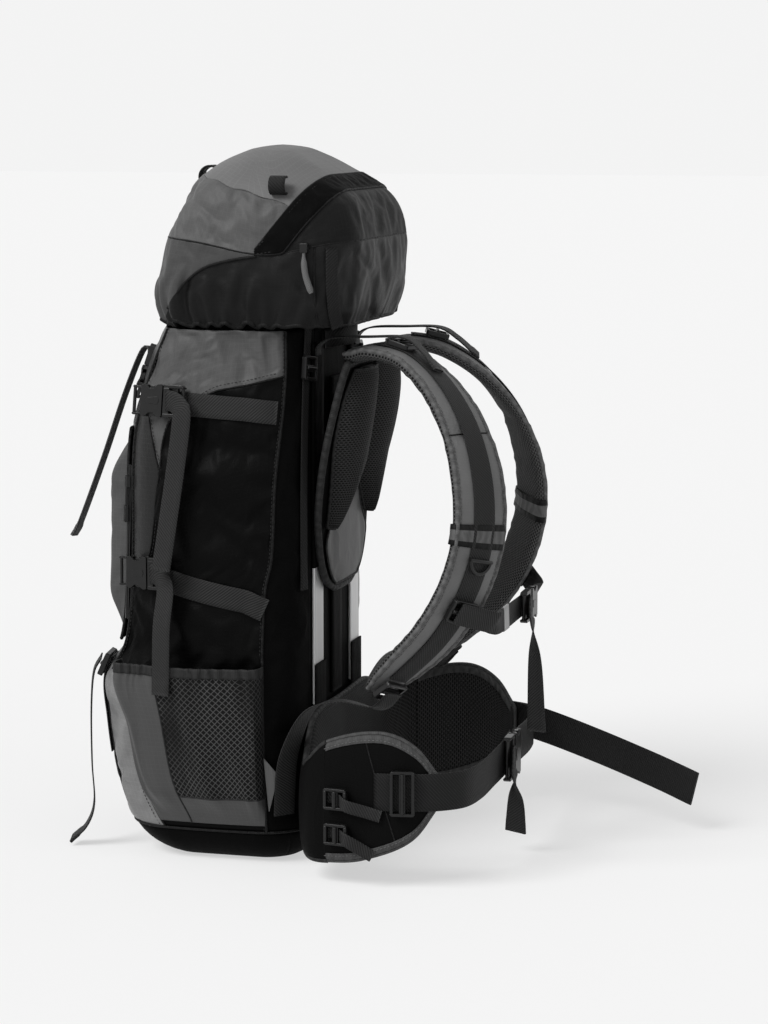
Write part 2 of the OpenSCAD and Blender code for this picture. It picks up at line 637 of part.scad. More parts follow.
// Webbing loops on the shoulders of the lid
loop_r = 9;
module lid_loops() {
    z = lid_low + lid_h * 0.77;
    function stand(a, b) = unit([4, a - b]) * (loop_r + seam / 4);
    side = stand(lid_side(z - 2), lid_side(z + 2));
    fore = stand(-lid_front_y(z - 2), -lid_front_y(z + 2));
    module loop() {
        rotate([90, 0, 0]) translate([0, 0, -8]) difference() {
            cylinder(r = loop_r, h = 16);
            translate([0, 0, -1]) cylinder(r = loop_r - web_t, h = 18);
        }
    }
    color([0.04, 0.04, 0.04]) {
        both() translate([lid_side(z) + side.x, lid_back / 2, z + side.y]) loop();
        translate([0, lid_front_y(z) - fore.x, z + fore.y]) rotate([0, 0, 90]) loop();
    }
}
// Webbing from the front of the lid down to its buckles
module lid_straps() {
    off = seam + web_t / 2;
    last = len(skirt_z) - 1;
    x = on_bag(bag_h, lid_strap_c, 0).x;
    R = concat([for (i = [last:-1:0]) [x, lid_front_y(skirt_z[i]) - off, skirt_z[i]]],
        [for (up = [42, 30, 16, 4]) on_bag(lid_strap_z + up, lid_strap_c, web_off + web_t / 2)]);
    color([0.16, 0.16, 0.17]) both() strip(R, [for (p = R) [1, 0, 0]], web_w);
}
module lid_male_right() {
    P = [[-4, 0, 0], [-13, 0, 0], [-20, 0, 4], [-10, 0, 10], [40, 0, 13], [110, -2, 14], [186, -4, 17],
        [205, -4, 20]];
    color([0.05, 0.05, 0.05]) on_front(lid_strap_z, lid_strap_c, buckle_off) {
        male(web_w);
        translate([0, 0, male_top]) webbing(P, [for (p = P) [0, 1, 0]], web_w - 5, 21);
    }
}

// Harness: yoke, pads and shoulder straps

yoke_shape = [[0, 0.3], [0.04, 0.56], [0.12, 0.76], [0.24, 0.88], [0.45, 0.96], [0.7, 1], [0.95, 0.98], [1, 0.94]];
lean_shape = [[0, 0], [0.3, 0], [0.55, 0.22], [0.8, 0.62], [1, 1]];
function yoke_share(z) = (z - yoke_low) / yoke_h;
function yoke_half(z) = yoke_w / 2 * smooth(yoke_share(z), yoke_shape);
function yoke_y(z) = yoke_back + max(0, yoke_lean * smooth(yoke_share(z), lean_shape));
function front_of_yoke(z) = yoke_y(z) + yoke_t;
module yoke() {
    Z = concat(steps(yoke_low, yoke_low + 20, 3), steps(yoke_low + 40, yoke_top, 12));
    U = steps(-1, 1, 6);
    color([0.12, 0.12, 0.125]) skin([for (z = Z) [for (u = U) [u * yoke_half(z), front_of_yoke(z), z]]],
        [for (z = Z) [for (u = U) [u * yoke_half(z), yoke_y(z), z]]]);
}
// Mesh pads: crowned leaves that thin out towards their edges
lobe_low = yoke_low + 72;
// Half width and height of the point of the plain panel below and between the pads
point_half = 66;
point_h = 72;
module back_pads() {
    high = yoke_top - 6;
    edge = 3;
    Z = steps(lobe_low, high, 14);
    U = steps(0, 1, 8);
    leaf = [[0, 0.12], [0.1, 0.5], [0.45, 0.92], [0.8, 1], [1, 0.86]];
    function share(z) = (z - lobe_low) / (high - lobe_low);
    function inner_x(z) = mix(point_half + 10, 6, min(1, (z - lobe_low) / point_h));
    function wide(z) = (yoke_half(z) - 6 - inner_x(z)) * smooth(share(z), leaf);
    function swell(z) = pow(max(0, crown(mix(0.04, 0.96, share(z)))), 0.45);
    function rise(z, u) = edge + (lobe_t - edge) * pow(crown(u), 0.6) * swell(z);
    function point(z, u, o) = [inner_x(z) + wide(z) * u, front_of_yoke(z) + seam + o, z];
    color([0.07, 0.07, 0.07]) both() skin([for (z = Z) [for (u = U) point(z, u, rise(z, u))]],
        [for (z = Z) [for (u = U) point(z, u, 0)]]);
}
// Plain panel that fills the foot of the yoke and runs to a point between the pads
module yoke_panel() {
    Z = steps(yoke_low + 6, lobe_low + point_h, 8);
    U = steps(-1, 1, 4);
    function half(z) = min(yoke_half(z) - 8, mix(point_half, 4, (z - lobe_low) / point_h));
    function point(z, u, o) = [u * half(z), front_of_yoke(z) + seam + o, z];
    color([0.28, 0.28, 0.29]) skin([for (z = Z) [for (u = U) point(z, u, web_t)]],
        [for (z = Z) [for (u = U) point(z, u, 0)]]);
}
// Middle line of the right shoulder pad, and how far it is turned outwards
pad_y = front_of_yoke(yoke_top);
// Shares of the spread, the reach and the drop along that line
shoulder_shape = [[0, -0.014, 0.026], [0.09, 0.163, 0.037], [0.25, 0.422, 0.011], [0.48, 0.68, -0.074],
    [0.7, 0.884, -0.205], [0.86, 0.993, -0.364], [0.95, 1, -0.523], [1, 0.898, -0.676],
    [1, 0.707, -0.8125], [0.95, 0.463, -0.9205], [0.89, 0.245, -1]];
shoulder_line = [for (s = shoulder_shape) [shoulder_gap / 2 + shoulder_spread * s.x,
    pad_y + shoulder_reach * s.y, yoke_top + shoulder_drop * s.z]];
shoulder_turn = [[0, 0], [2, 4], [4, 24], [5, 33], [7, 36], [9, 30], [10, 26]];
shoulder_n = 30;
shoulder_route = route(shoulder_line, shoulder_n);
shoulder_ends = [[0, 0.9], [0.05, 1], [0.8, 1], [0.93, 0.86], [1, 0.5]];
function shoulder_axes(i) = let (T = heading(shoulder_route, i), X = unit([1, 0, 0] - T * T.x),
        N = cross(X, T), a = smooth(10 * i / shoulder_n, shoulder_turn))
    [X * cos(a) - N * sin(a), N * cos(a) + X * sin(a), T];
function power(v, p) = sign(v) * pow(abs(v), p);
function shoulder_ring(i, o) = let (A = shoulder_axes(i), k = smooth(i / shoulder_n, shoulder_ends),
        w = shoulder_w / 2 * k + o, t = shoulder_t / 2 * mix(0.6, 1, k) + o)
    [for (j = [0:11]) let (a = 30 * j)
        shoulder_route[i] + A[0] * power(cos(a), 0.75) * w + A[1] * power(sin(a), 0.8) * t];
module shoulder_pads() {
    color([0.33, 0.33, 0.34]) both() loft([for (i = [0:shoulder_n]) shoulder_ring(i, 0)]);
}
shoulder_up = shoulder_t / 2 + seam + web_t / 2;
function over_pad(i, up) = shoulder_route[i] + shoulder_axes(i)[1] * up;
web_from = 3;
web_to = shoulder_n - 2;
module shoulder_webbing() {
    I = [web_from:web_to];
    color([0.1, 0.1, 0.105]) both() strip([for (i = I) over_pad(i, shoulder_up)],
        [for (i = I) shoulder_axes(i)[0]], web_w + 3);
}
// Elastic keepers round the pads
band_i = 17;
module shoulder_bands() {
    o = seam + web_t + 2 * play;
    color([0.3, 0.3, 0.31]) both() loop_loft([shoulder_ring(band_i, o + 1), shoulder_ring(band_i + 1, o + 1),
        shoulder_ring(band_i + 1, o), shoulder_ring(band_i, o)]);
}
module on_pad(i, up) {
    A = shoulder_axes(i);
    frame_at(over_pad(i, up), A[2], A[1]) children();
}
over_web = shoulder_up + web_t / 2 + play;
adjust_i = shoulder_n - 1;
module shoulder_adjusters() {
    color([0.04, 0.04, 0.04]) both() {
        on_pad(adjust_i, over_web) ladder(web_w);
        on_pad(lift_i, over_web) ladder(web_w - 5);
    }
}
over_ladder = over_web + ladder_t + play + web_t / 2;
lift_i = 5;
// Straps from the top of the back panel to the shoulder pads
module load_lifters() {
    x = stay_gap / 2 + 6;
    y = stay_face + 2 * play + web_t / 2;
    A = over_pad(lift_i, over_ladder + 3 * seam);
    T = shoulder_axes(lift_i)[2];
    crest = [x, y + 16, yoke_top + 27];
    P = [[x, y, yoke_top + 8], [x, y + 1, yoke_top + 18], crest, mix(crest, A, 0.5) + [0, 0, 1],
        A, A + T * 34 + shoulder_axes(lift_i)[1] * 2];
    color([0.06, 0.06, 0.06]) both() webbing(P, [for (p = P) [1, 0, 0]], web_w - 5, 20);
}
// Straps from the pads' lower ends, over the belt, to the bag's rear bottom corners
module anchor_straps() {
    A = over_pad(adjust_i, over_ladder);
    axes = shoulder_axes(adjust_i);
    foot = on_bag(56, 0.6, web_off + web_t / 2 + 1);
    P = [A - axes[2] * 4, A + axes[2] * 22, [hinge_x - 45, bag_back + 47, lumbar_top + 32],
        [hinge_x - 39, bag_back + 15, lumbar_top + 20], [hinge_x - 42, bag_back - 8, lumbar_top - 28],
        foot + [3, 2, 26], foot];
    V = [axes[0], axes[0], [1, 0, 0.1], [1, -0.3, 0], [0.75, -0.6, 0], [0.7, -0.7, 0], [0.7, -0.7, 0]];
    color([0.07, 0.07, 0.07]) both() webbing(P, V, web_w, 24);
}
// D-ring that swings on a bar across the pad
ring_i = 19;
module d_ring_right() {
    w = web_w + 6;
    color([0.12, 0.12, 0.12]) on_pad(ring_i, over_web + 2.2) {
        rotate([90, 0, 0]) translate([0, 0, -w / 2]) cylinder(r = 2, h = w);
        rotate([0, 0, -90]) rotate_extrude(angle = 180) translate([w / 2 - 2, 0]) circle(r = 2);
    }
}

// Sternum strap: it leaves a slider on each pad, and its buckle sits left of the middle

chest_i = 22;
chest_axes = shoulder_axes(chest_i);
chest = over_pad(chest_i, over_ladder);
chest_edge = chest - chest_axes[0] * (shoulder_w / 2 + 8);
chest_y = chest_edge.y + 3;
chest_z = chest_edge.z - 4;
chest_x = -28;
chest_face = chest_y + web_t / 2 + play + seam;
module sternum_strap() {
    P = [chest + chest_axes[0] * 10, chest, mix(chest, chest_edge, 0.6), chest_edge,
        [chest_edge.x - 9, chest_y - 0.6, chest_z + 1]];
    V = [for (p = P) -chest_axes[2]];
    end = [[chest_edge.x - 30, chest_y, chest_z], [-chest_x + 1, chest_y, chest_z]];
    long = [[chest_edge.x - 30, chest_y, chest_z], [0, chest_y, chest_z], [chest_x + 1, chest_y, chest_z]];
    color([0.06, 0.06, 0.06]) {
        webbing(concat(P, long), concat(V, [for (p = long) [0, 0, 1]]), web_w, 24);
        flipped() webbing(concat(P, end), concat(V, [for (p = end) [0, 0, 1]]), web_w, 20);
    }
}
// Width direction of a tail that turns from its buckle to hang down
tail_turn = [[0, 1, 0], [0, 1, 0], [-0.6, 1, 0], [-1, 0.3, 0], [-1, 0, 0], [-1, 0, 0]];
module at_chest_buckle() {
    frame_at([chest_x, chest_face, chest_z], [-1, 0, 0], [0, 1, 0]) children();
}
module sternum_fittings() {
    color([0.04, 0.04, 0.04]) {
        both() on_pad(chest_i, over_web) ladder(web_w + 3);
        at_chest_buckle() female(web_w);
    }
}
module sternum_male() {
    P = [[-4, 0, 0], [-13, 0, 0], [-20, -4, 2], [-24, -16, 5], [-24, -60, 8], [-18, -138, 9]];
    color([0.04, 0.04, 0.04]) at_chest_buckle() {
        male(web_w);
        translate([0, 0, male_top]) webbing(P, tail_turn, web_w - 3, 15);
    }
}

// Hip belt

// Plan of the belt's middle line on the right, from the spine round to the wing's tip
lumbar_y = bag_back + belt_t / 2 + seam;
belt_line = [[0, lumbar_y, 0], [60, lumbar_y, 0], [112, lumbar_y, 0], [hinge_x - 36, lumbar_y + 4, 0],
    [hinge_x - 9, lumbar_y + 17, 0], [hinge_x, hinge_y, 0], [hinge_x + 5, hinge_y + 40, 0],
    [hinge_x + 2, hinge_y + 85, 0], [hinge_x - 7, hinge_y + 118, 0]];
belt_top = [[0, lumbar_top + 8], [2, lumbar_top + 4], [3, lumbar_top - 34], [4, lumbar_top - 24],
    [5, lumbar_top - 3], [6.4, wing_top], [7.3, wing_top - 16], [8, belt_z + 14]];
belt_bottom = [[0, belt_low + 14], [2, belt_low + 8], [4, belt_low], [5, belt_low], [6, belt_low + 6],
    [7.2, belt_low + 30], [8, belt_z - 14]];
belt_table = numbered(belt_line);
function belt_at(s) = smooth(s, belt_table);
function belt_out(s) = let (T = unit(belt_at(min(s + 0.05, 8)) - belt_at(max(s - 0.05, 0)))) [T.y, -T.x, 0];
spine_dip = 0.4;
tip_thin = 0.45;
function belt_top_z(s) = smooth(s, belt_top);
function belt_low_z(s) = smooth(s, belt_bottom);
// Half thickness of the belt at place s and share v of its height, with a channel at the spine
function belt_half(s, v) = belt_t / 2 * (0.3 + 0.7 * pow(max(crown(v), 0), 0.5))
    * (s > 7 ? mix(1, tip_thin, s - 7) : 1 - spine_dip * exp(-s * s / 0.2));
// Pad along the belt through the places S
module belt_pad(S) {
    V = steps(0, 1, 8);
    function place(s) = let (p = belt_at(abs(s))) [s < 0 ? -p.x : p.x, p.y, 0];
    function face(s) = let (q = belt_out(abs(s))) [s < 0 ? -q.x : q.x, q.y, 0];
    function point(s, v, side) = place(s) + face(s) * side * belt_half(abs(s), v)
        + [0, 0, mix(belt_low_z(abs(s)), belt_top_z(abs(s)), v)];
    skin([for (s = S) [for (v = V) point(s, v, 1)]], [for (s = S) [for (v = V) point(s, v, -1)]]);
}
hinge_gap = 0.01;
module lumbar_pad() {
    color([0.05, 0.05, 0.055]) belt_pad(steps(hinge_gap - 5, 5 - hinge_gap, 28));
}
module wing_right() {
    color([0.07, 0.07, 0.075]) belt_pad(steps(5 + hinge_gap, 8, 14));
}
// Point on the outer face of a wing
function on_wing(s, z, o) = let (v = (z - belt_low_z(s)) / (belt_top_z(s) - belt_low_z(s)),
        p = belt_at(s) + belt_out(s) * (belt_half(s, v) + o)) [p.x, p.y, z];
module at_wing(s, z, o) {
    frame_at(on_wing(s, z, o), unit(belt_at(s + 0.1) - belt_at(s - 0.1)), belt_out(s)) children();
}
lock_s = 6.95;
lock_off = web_off + web_t + play;
trim_z = [belt_z - 6, belt_low + 36];
trim_w = 15;
// Belt webbing of the right wing, with the two small trimming straps on its root
module belt_webbing(tail) {
    o = web_off + web_t / 2;
    P = concat([for (s = [6.3, 6.65, 7, 7.35]) on_wing(s, belt_z, o)], [[hinge_x - 3, hinge_y + 122, belt_z],
        [hinge_x - 26, hinge_y + 143, belt_z], [hinge_x - 70, belt_y, belt_z],
        [hinge_x - 130, belt_y, belt_z], [1, belt_y, belt_z]]);
    out = lock_off + ladder_t + seam + web_t;
    loose = concat([on_wing(lock_s - 0.2, belt_z, out), on_wing(lock_s + 0.3, belt_z - 2, out)],
        [for (v = [[8, 0.42, 6], [-16, 0.63, 22], [-50, 0.853, 40], [-72, 1, 54]])
            [hinge_x + v.x, hinge_y + belt_tail * v.y, belt_z - v.z]]);
    color([0.06, 0.06, 0.06]) {
        webbing(P, [for (p = P) [0, 0, 1]], belt_web_w, 24);
        for (z = trim_z) strip([for (k = [0:6]) on_wing(5.15 + 0.14 * k, z - 2.5 * k, o)],
            [for (k = [0:6]) [0, 0, 1]], trim_w);
        if (tail) webbing(loose, [for (p = loose) [0, 0, 1]], belt_web_w, 20);
    }
}
module belt_webbing_right() {
    belt_webbing(false);
}
module belt_webbing_left() {
    flipped() belt_webbing(true);
}
module at_belt_buckle() {
    frame_at([0, belt_y + web_t / 2 + play, belt_z], [-1, 0, 0], [0, 1, 0]) children();
}
module wing_fittings_right() {
    color([0.04, 0.04, 0.04]) {
        at_wing(lock_s, belt_z, lock_off) ladder(belt_web_w);
        for (z = trim_z) at_wing(5.4, z - 4, lock_off) ladder(trim_w);
    }
}
module wing_fittings_left() {
    flipped() wing_fittings_right();
    color([0.04, 0.04, 0.04]) at_belt_buckle() female(belt_web_w);
}
module belt_male() {
    P = [[-4, 0, 0], [-13, 0, 0], [-20, -4, 2], [-24, -18, 4], [-22, -44, 5], [-14, -82, 3]];
    color([0.04, 0.04, 0.04]) at_belt_buckle() {
        male(belt_web_w);
        translate([0, 0, male_top]) webbing(P, tail_turn, web_w, 15);
    }
}

back_panel();
side_panel_right();
flipped() side_panel_right();  // side_panel_left
front_panel();
bottom_panel();
collar();
collar_drawcord();
cord_lock();
frame_sheet();
stays();
stay_pockets();
spine_strip();
haul_loop();
front_pocket();
zip_tracks();
zip_slider_right();
flipped() zip_slider_right();  // zip_slider_left
mesh_pocket_right();
flipped() mesh_pocket_right();  // mesh_pocket_left
front_webbing();
bottom_adjusters();
side_webbing();
strap_females();
side_male_upper_right();
flipped() side_male_upper_right();  // side_male_upper_left
side_male_lower_right();
flipped() side_male_lower_right();  // side_male_lower_left
lid_top();
lid_rear();
lid_skirt();
lid_floor();
lid_band();
lid_zip_slider();
lid_zip_pull();
lid_loops();
lid_straps();
lid_male_right();
flipped() lid_male_right();  // lid_male_left
yoke();
back_pads();
yoke_panel();
shoulder_pads();
shoulder_webbing();
shoulder_bands();
shoulder_adjusters();
load_lifters();
anchor_straps();
d_ring_right();
flipped() d_ring_right();  // d_ring_left
sternum_strap();
sternum_fittings();
sternum_male();
lumbar_pad();
wing_right();
flipped() wing_right();  // wing_left
belt_webbing_right();
belt_webbing_left();
wing_fittings_right();
wing_fittings_left();
belt_male();
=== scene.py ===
import math

import bmesh
import bpy
import numpy as np
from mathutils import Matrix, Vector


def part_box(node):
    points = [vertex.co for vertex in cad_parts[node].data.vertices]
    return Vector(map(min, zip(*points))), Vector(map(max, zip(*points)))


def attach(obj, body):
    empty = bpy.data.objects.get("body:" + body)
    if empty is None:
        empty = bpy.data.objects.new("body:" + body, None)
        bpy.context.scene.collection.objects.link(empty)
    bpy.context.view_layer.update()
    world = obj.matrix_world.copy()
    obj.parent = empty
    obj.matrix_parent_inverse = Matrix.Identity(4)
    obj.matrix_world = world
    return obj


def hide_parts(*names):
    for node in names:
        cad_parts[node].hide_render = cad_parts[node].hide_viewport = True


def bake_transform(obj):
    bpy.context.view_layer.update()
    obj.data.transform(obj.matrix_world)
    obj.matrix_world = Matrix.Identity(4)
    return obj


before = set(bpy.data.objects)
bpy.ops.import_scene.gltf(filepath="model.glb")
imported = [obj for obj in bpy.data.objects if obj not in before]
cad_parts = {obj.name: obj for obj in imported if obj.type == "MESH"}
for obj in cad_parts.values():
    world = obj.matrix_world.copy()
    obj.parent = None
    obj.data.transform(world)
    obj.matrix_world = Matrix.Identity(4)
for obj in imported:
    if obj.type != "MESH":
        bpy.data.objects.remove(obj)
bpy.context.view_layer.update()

# Measures, in millimetres and in the frame of the solids

MM = 0.001
BAG_H, BAG_W, BAG_FRONT, BAG_BACK, BAG_CORNER = 578, 300, 126, 103, 55
BASE_ROUND, BASE_H, SIDE_BULGE = 30, 42, 8
COLLAR_H, COLLAR_LEAN = 55, 11
POCKET_LOW, POCKET_HIGH, POCKET_DEPTH = 238, 468, 19
MESH_LOW, MESH_HIGH, MESH_DEPTH = 44, 214, 16
LID_LOW, LID_H, LID_SKIRT_H, LID_W, LID_FRONT, LID_BACK = 583, 186, 92, 284, 66, 160
LID_CORNER, LID_BAND_W, LID_FOOT_Y, LID_TILT = 54, 26, 83, math.radians(52)
LID_SPLIT, LID_TOP = LID_LOW + LID_SKIRT_H, LID_LOW + LID_H
YOKE_TOP, YOKE_H, YOKE_W, YOKE_T, YOKE_LEAN, YOKE_BACK, LOBE_T = 541, 251, 204, 8, 34, 106.9, 28
YOKE_LOW = YOKE_TOP - YOKE_H
LOBE_LOW = YOKE_LOW + 72
POINT_HALF, POINT_H = 66, 72
SHOULDER_GAP, SHOULDER_SPREAD, SHOULDER_REACH, SHOULDER_DROP = 120, 76, 147, 341
SHOULDER_W, SHOULDER_T = 68, 16
STAY_GAP, STAY_FACE, SPINE_W = 144, 106.5, 38
BELT_T, LUMBAR_TOP, BELT_LOW, WING_TOP = 15, 156, 26, 166
HINGE_X, HINGE_Y, BELT_Y, BELT_Z = 191, 150, 300, 106
WEB_W, BELT_WEB_W, WEB_T, BUCKLE_T, BELT_TAIL = 25, 40, 1.6, 9, 340
SEAM, PLAY = 0.5, 0.4
BUCKLE_OFF = SEAM + WEB_T + PLAY
MALE_TOP = BUCKLE_T - 1 + PLAY + WEB_T / 2
LADDER_T = BUCKLE_T - 1
RAIL, SHELL, BAR_R = 5, 2, 2
FEMALE_BODY, FEMALE_LONG, FEMALE_WINDOW, MALE_LONG, TONGUE, LADDER_LONG = 26, 37, (8, 18), 25, 17, 26
SIDES = (("right", 1), ("left", -1))
ROUND, FRONT_SUM = 48, 36                  # columns round the bag, and the sum of a front column and its mirror
BASE_SEAM = BASE_H - 6.0                   # where the panels meet the bottom
POCKET_SPLIT, FRONT_SPLIT = 206, 210       # tops of the panels behind the side pockets and of the front's foot
LID_DIP, LID_DIP_Y, LID_DIP_LONG, LID_DIP_TALL = 16, 66, 62, 42
LIFTER_I, CHEST_I, ANCHOR_I = 5, 22, 29    # buckles on the shoulder pad, in thirtieths of its length
RIM_STEP, PANEL_T = 4, 1.2
MOULD_ROUND, SOLID_ROUND, ZIP_ROUND = 0.8, 0.7, 0.4
ODD_WAY = (0.31, 0.17, 0.93)               # a direction that no line runs in

# Shapes: share of the height, share of the driving dimension
WIDTH_SHAPE = [(0, 0.86), (0.08, 0.93), (0.26, 0.985), (0.45, 1), (0.7, 1), (0.87, 0.955), (1, 0.88)]
FRONT_SHAPE = [(0, 0.6), (0.026, 0.69), (0.08, 0.83), (0.16, 0.93), (0.26, 0.985), (0.34, 1), (0.41, 0.85),
               (0.5, 0.79), (0.6, 0.77), (0.74, 0.765), (0.81, 0.745), (0.87, 0.685), (0.94, 0.59), (1, 0.485)]
LID_WIDE = [(0, 0.94), (0.12, 0.985), (0.35, 1), (0.6, 0.965), (0.8, 0.84), (0.92, 0.63), (1, 0.3)]
LID_FORE = [(0, 0.92), (0.13, 1), (0.3, 0.95), (0.56, 0.74), (0.79, 0.46), (0.91, 0.1), (1, -0.4)]
LID_AFT = [(0, 0.91), (0.1, 0.955), (0.26, 0.99), (0.47, 1), (0.65, 0.957), (0.77, 0.855), (0.89, 0.64), (1, 0.4)]
YOKE_SHAPE = [(0, 0.3), (0.04, 0.56), (0.12, 0.76), (0.24, 0.88), (0.45, 0.96), (0.7, 1), (0.95, 0.98), (1, 0.94)]
LEAN_SHAPE = [(0, 0), (0.3, 0), (0.55, 0.22), (0.8, 0.62), (1, 1)]
SHOULDER_SHAPE = [(0, -0.014, 0.026), (0.09, 0.163, 0.037), (0.25, 0.422, 0.011), (0.48, 0.68, -0.074),
                  (0.7, 0.884, -0.205), (0.86, 0.993, -0.364), (0.95, 1, -0.523), (1, 0.898, -0.676),
                  (1, 0.707, -0.8125), (0.95, 0.463, -0.9205), (0.89, 0.245, -1)]
SHOULDER_TURN = [(0, 0), (2, 4), (4, 24), (5, 33), (7, 36), (9, 30), (10, 26)]
SHOULDER_ENDS = [(0, 0.9), (0.05, 1), (0.8, 1), (0.93, 0.86), (1, 0.5)]

# Seams on the right side of the bag, as height and column round the bag
REAR_SEAM = [(40, 2.4), (223, 2.43), (239, 2.43), (304, 2.08), (336, 1.45), (421, 1.05), (495, 0.35), (532, 0.2),
             (578, 0.4)]
FRONT_SEAM = 12.6
GUSSET_SEAM = [(300, 12.5), (318, 11.1), (334, 9.9), (364, 9.35), (407, 8.9), (426, 8.7), (445, 9.2), (475, 10.2),
               (500, 11.4), (515, 12.5)]
DIAGONAL = [(0, 531), (0.425, 516), (0.6, 500), (0.777, 478), (0.888, 454), (0.937, 440), (1, 426)]
POCKET_SEAM = [(40, 8.4), (93, 9.1), (136, 9.3), (165, 9.6), (214, 11.2)]
NET_SEAM = [(40, 6.7), (73, 6.75), (101, 6.9), (139, 7.0), (186, 7.15), (214, 7.5)]
CORNER_C, BACK_C = 14.2, -4
COMP_C, COMP_FRONT_C, COMP_Z, COMP_REAR_Z = (8.9, 9.4), 12.8, (502, 318), (492, 282)
STRAP_REAR_C, STRAP_LIFT = (1.0, 2.15), 2.0
SIDE_TAILS = ((180, -14, 0), (128, 0, 12))  # drop, swing and stand-off of the upper and the lower tail
BOTTOM_C, BOTTOM_Z = 15.4, 206
LID_STRAP_X, LID_STRAP_Z = 66, 530
LID_SLANT = [(-44, 600), (-32, 614), (-19, 630), (2, 648), (30, 663), (59, 673)]

# Small folds at the edges of a panel: depth at its top and its low edge, and seed
PUCKERS = {
    "side_upper": (1.0, 0.4, 2), "side_lower": (0.5, 0.9, 3), "corner": (1.0, 0.9, 5),
    "lid_front": (0.25, 0.5, 6), "lid_rear": (0.15, 0.1, 7), "skirt": (0.3, 0, 8),
}
# Scattered folds: count, depth, width, length, lean from upright in degrees, and seed
FOLDS = {
    "side_upper": (18, 4.0, 8, 28, 15, 12), "side_lower": (30, 3.0, 9, 36, 35, 13),
    "lid_front": (60, 5.0, 7, 30, 28, 16), "lid_rear": (30, 2.4, 11, 30, -40, 17),
    "skirt": (90, 4.5, 6.5, 24, 25, 18),
}
# How loose each simulated panel is: slack as a share, pressure, the most that it moves, and stiffness in bending
LOOSE = {
    "side": dict(slack=0.04, pressure=1.2, cap=7, bend=0.1),
    "gusset": dict(slack=0.05, pressure=2, cap=5),
    "corner": dict(slack=0.04, pressure=2, cap=5),
    "rear_strip": dict(slack=0.015, pressure=1, cap=3),
    "front_low": dict(slack=0.03, pressure=2, cap=6),
    "front_high": dict(slack=0.02, pressure=1, cap=4),
    "front_pocket": dict(slack=0.02, pressure=1, cap=2.5),
    "lid_top": dict(slack=0.025, pressure=1.5, cap=5),
    "lid_front": dict(slack=0.03, pressure=2, cap=5),
    "lid_rear": dict(slack=0.01, pressure=2, cap=5, bend=0.5),
    "flap": dict(slack=0.02, pressure=1, cap=2),
    "skirt": dict(slack=0.015, pressure=1.2, cap=4, bend=0.4),
    "yoke_panel": dict(slack=0.01, pressure=1, cap=2),
}


# Curves and surfaces

def smooth(t, table):
    """Smooth curve through rows of (place, value), where a value is a number or a point."""
    places = np.array([row[0] for row in table], float)
    values = np.array([row[1] for row in table], float)
    last = len(places) - 1
    before = np.maximum(np.arange(last + 1) - 1, 0)
    after = np.minimum(np.arange(last + 1) + 1, last)
    spread = (places[after] - places[before]).reshape(-1, *[1] * (values.ndim - 1))
    slope = (values[after] - values[before]) / spread
    t = np.asarray(t, float)
    i = np.clip(np.searchsorted(places, t, side="right") - 1, 0, last - 1)
    h = places[i + 1] - places[i]
    k = np.clip((t - places[i]) / h, 0, 1)
    if values.ndim > 1:
        h, k = h[..., None], k[..., None]
    return (values[i] * (2 * k**3 - 3 * k**2 + 1) + slope[i] * h * (k**3 - 2 * k**2 + k)
            + values[i + 1] * (3 * k**2 - 2 * k**3) + slope[i + 1] * h * (k**3 - k**2))


def route(points, n):
    """n + 1 points along a smooth line through the given points."""
    return smooth(np.linspace(0, len(points) - 1, n + 1), list(enumerate(np.asarray(points, float))))


def even(points, step):
    """The same line with points every step millimetres."""
    lengths = run_lengths(points)
    return at_lengths(np.linspace(0, lengths[-1], max(2, int(lengths[-1] / step) + 1)), lengths, points)


def at_lengths(places, lengths, points):
    """Points of a line at places along it, where lengths has the place of each given point."""
    return np.stack([np.interp(places, lengths, points[:, k]) for k in range(3)], -1)


def run_lengths(points):
    return np.concatenate([[0], np.cumsum(np.linalg.norm(np.diff(points, axis=0), axis=-1))])


def mix(a, b, k):
    return a + (b - a) * k


def crown(k):
    return 4 * k * (1 - k)


def unit(v):
    v = np.asarray(v, float)
    return v / np.linalg.norm(v, axis=-1, keepdims=True)


def step_up(k):
    k = np.clip(k, 0, 1)
    return k * k * (3 - 2 * k)


def mirrored(points, s):
    return np.asarray(points, float) * np.array([s, 1, 1])


def on_side(s, *lines):
    """Lines of the right side, mirrored where s is -1."""
    return [mirrored(line, s) for line in lines]


def profile(size, low, height, table):
    """Function of z for a width or a reach, from a table of its shares between low and low + height."""
    return lambda z: size * smooth((np.asarray(z) - low) / height, table)


half_w = profile(BAG_W / 2, 0, BAG_H, WIDTH_SHAPE)
front_y = profile(-BAG_FRONT, 0, BAG_H, FRONT_SHAPE)
lid_side = profile(LID_W / 2, LID_LOW, LID_H, LID_WIDE)
lid_front_y = profile(-LID_FRONT, LID_LOW, LID_H, LID_FORE)
lid_back_y = profile(LID_BACK, LID_LOW, LID_H, LID_AFT)
yoke_half = profile(YOKE_W / 2, YOKE_LOW, YOKE_H, YOKE_SHAPE)


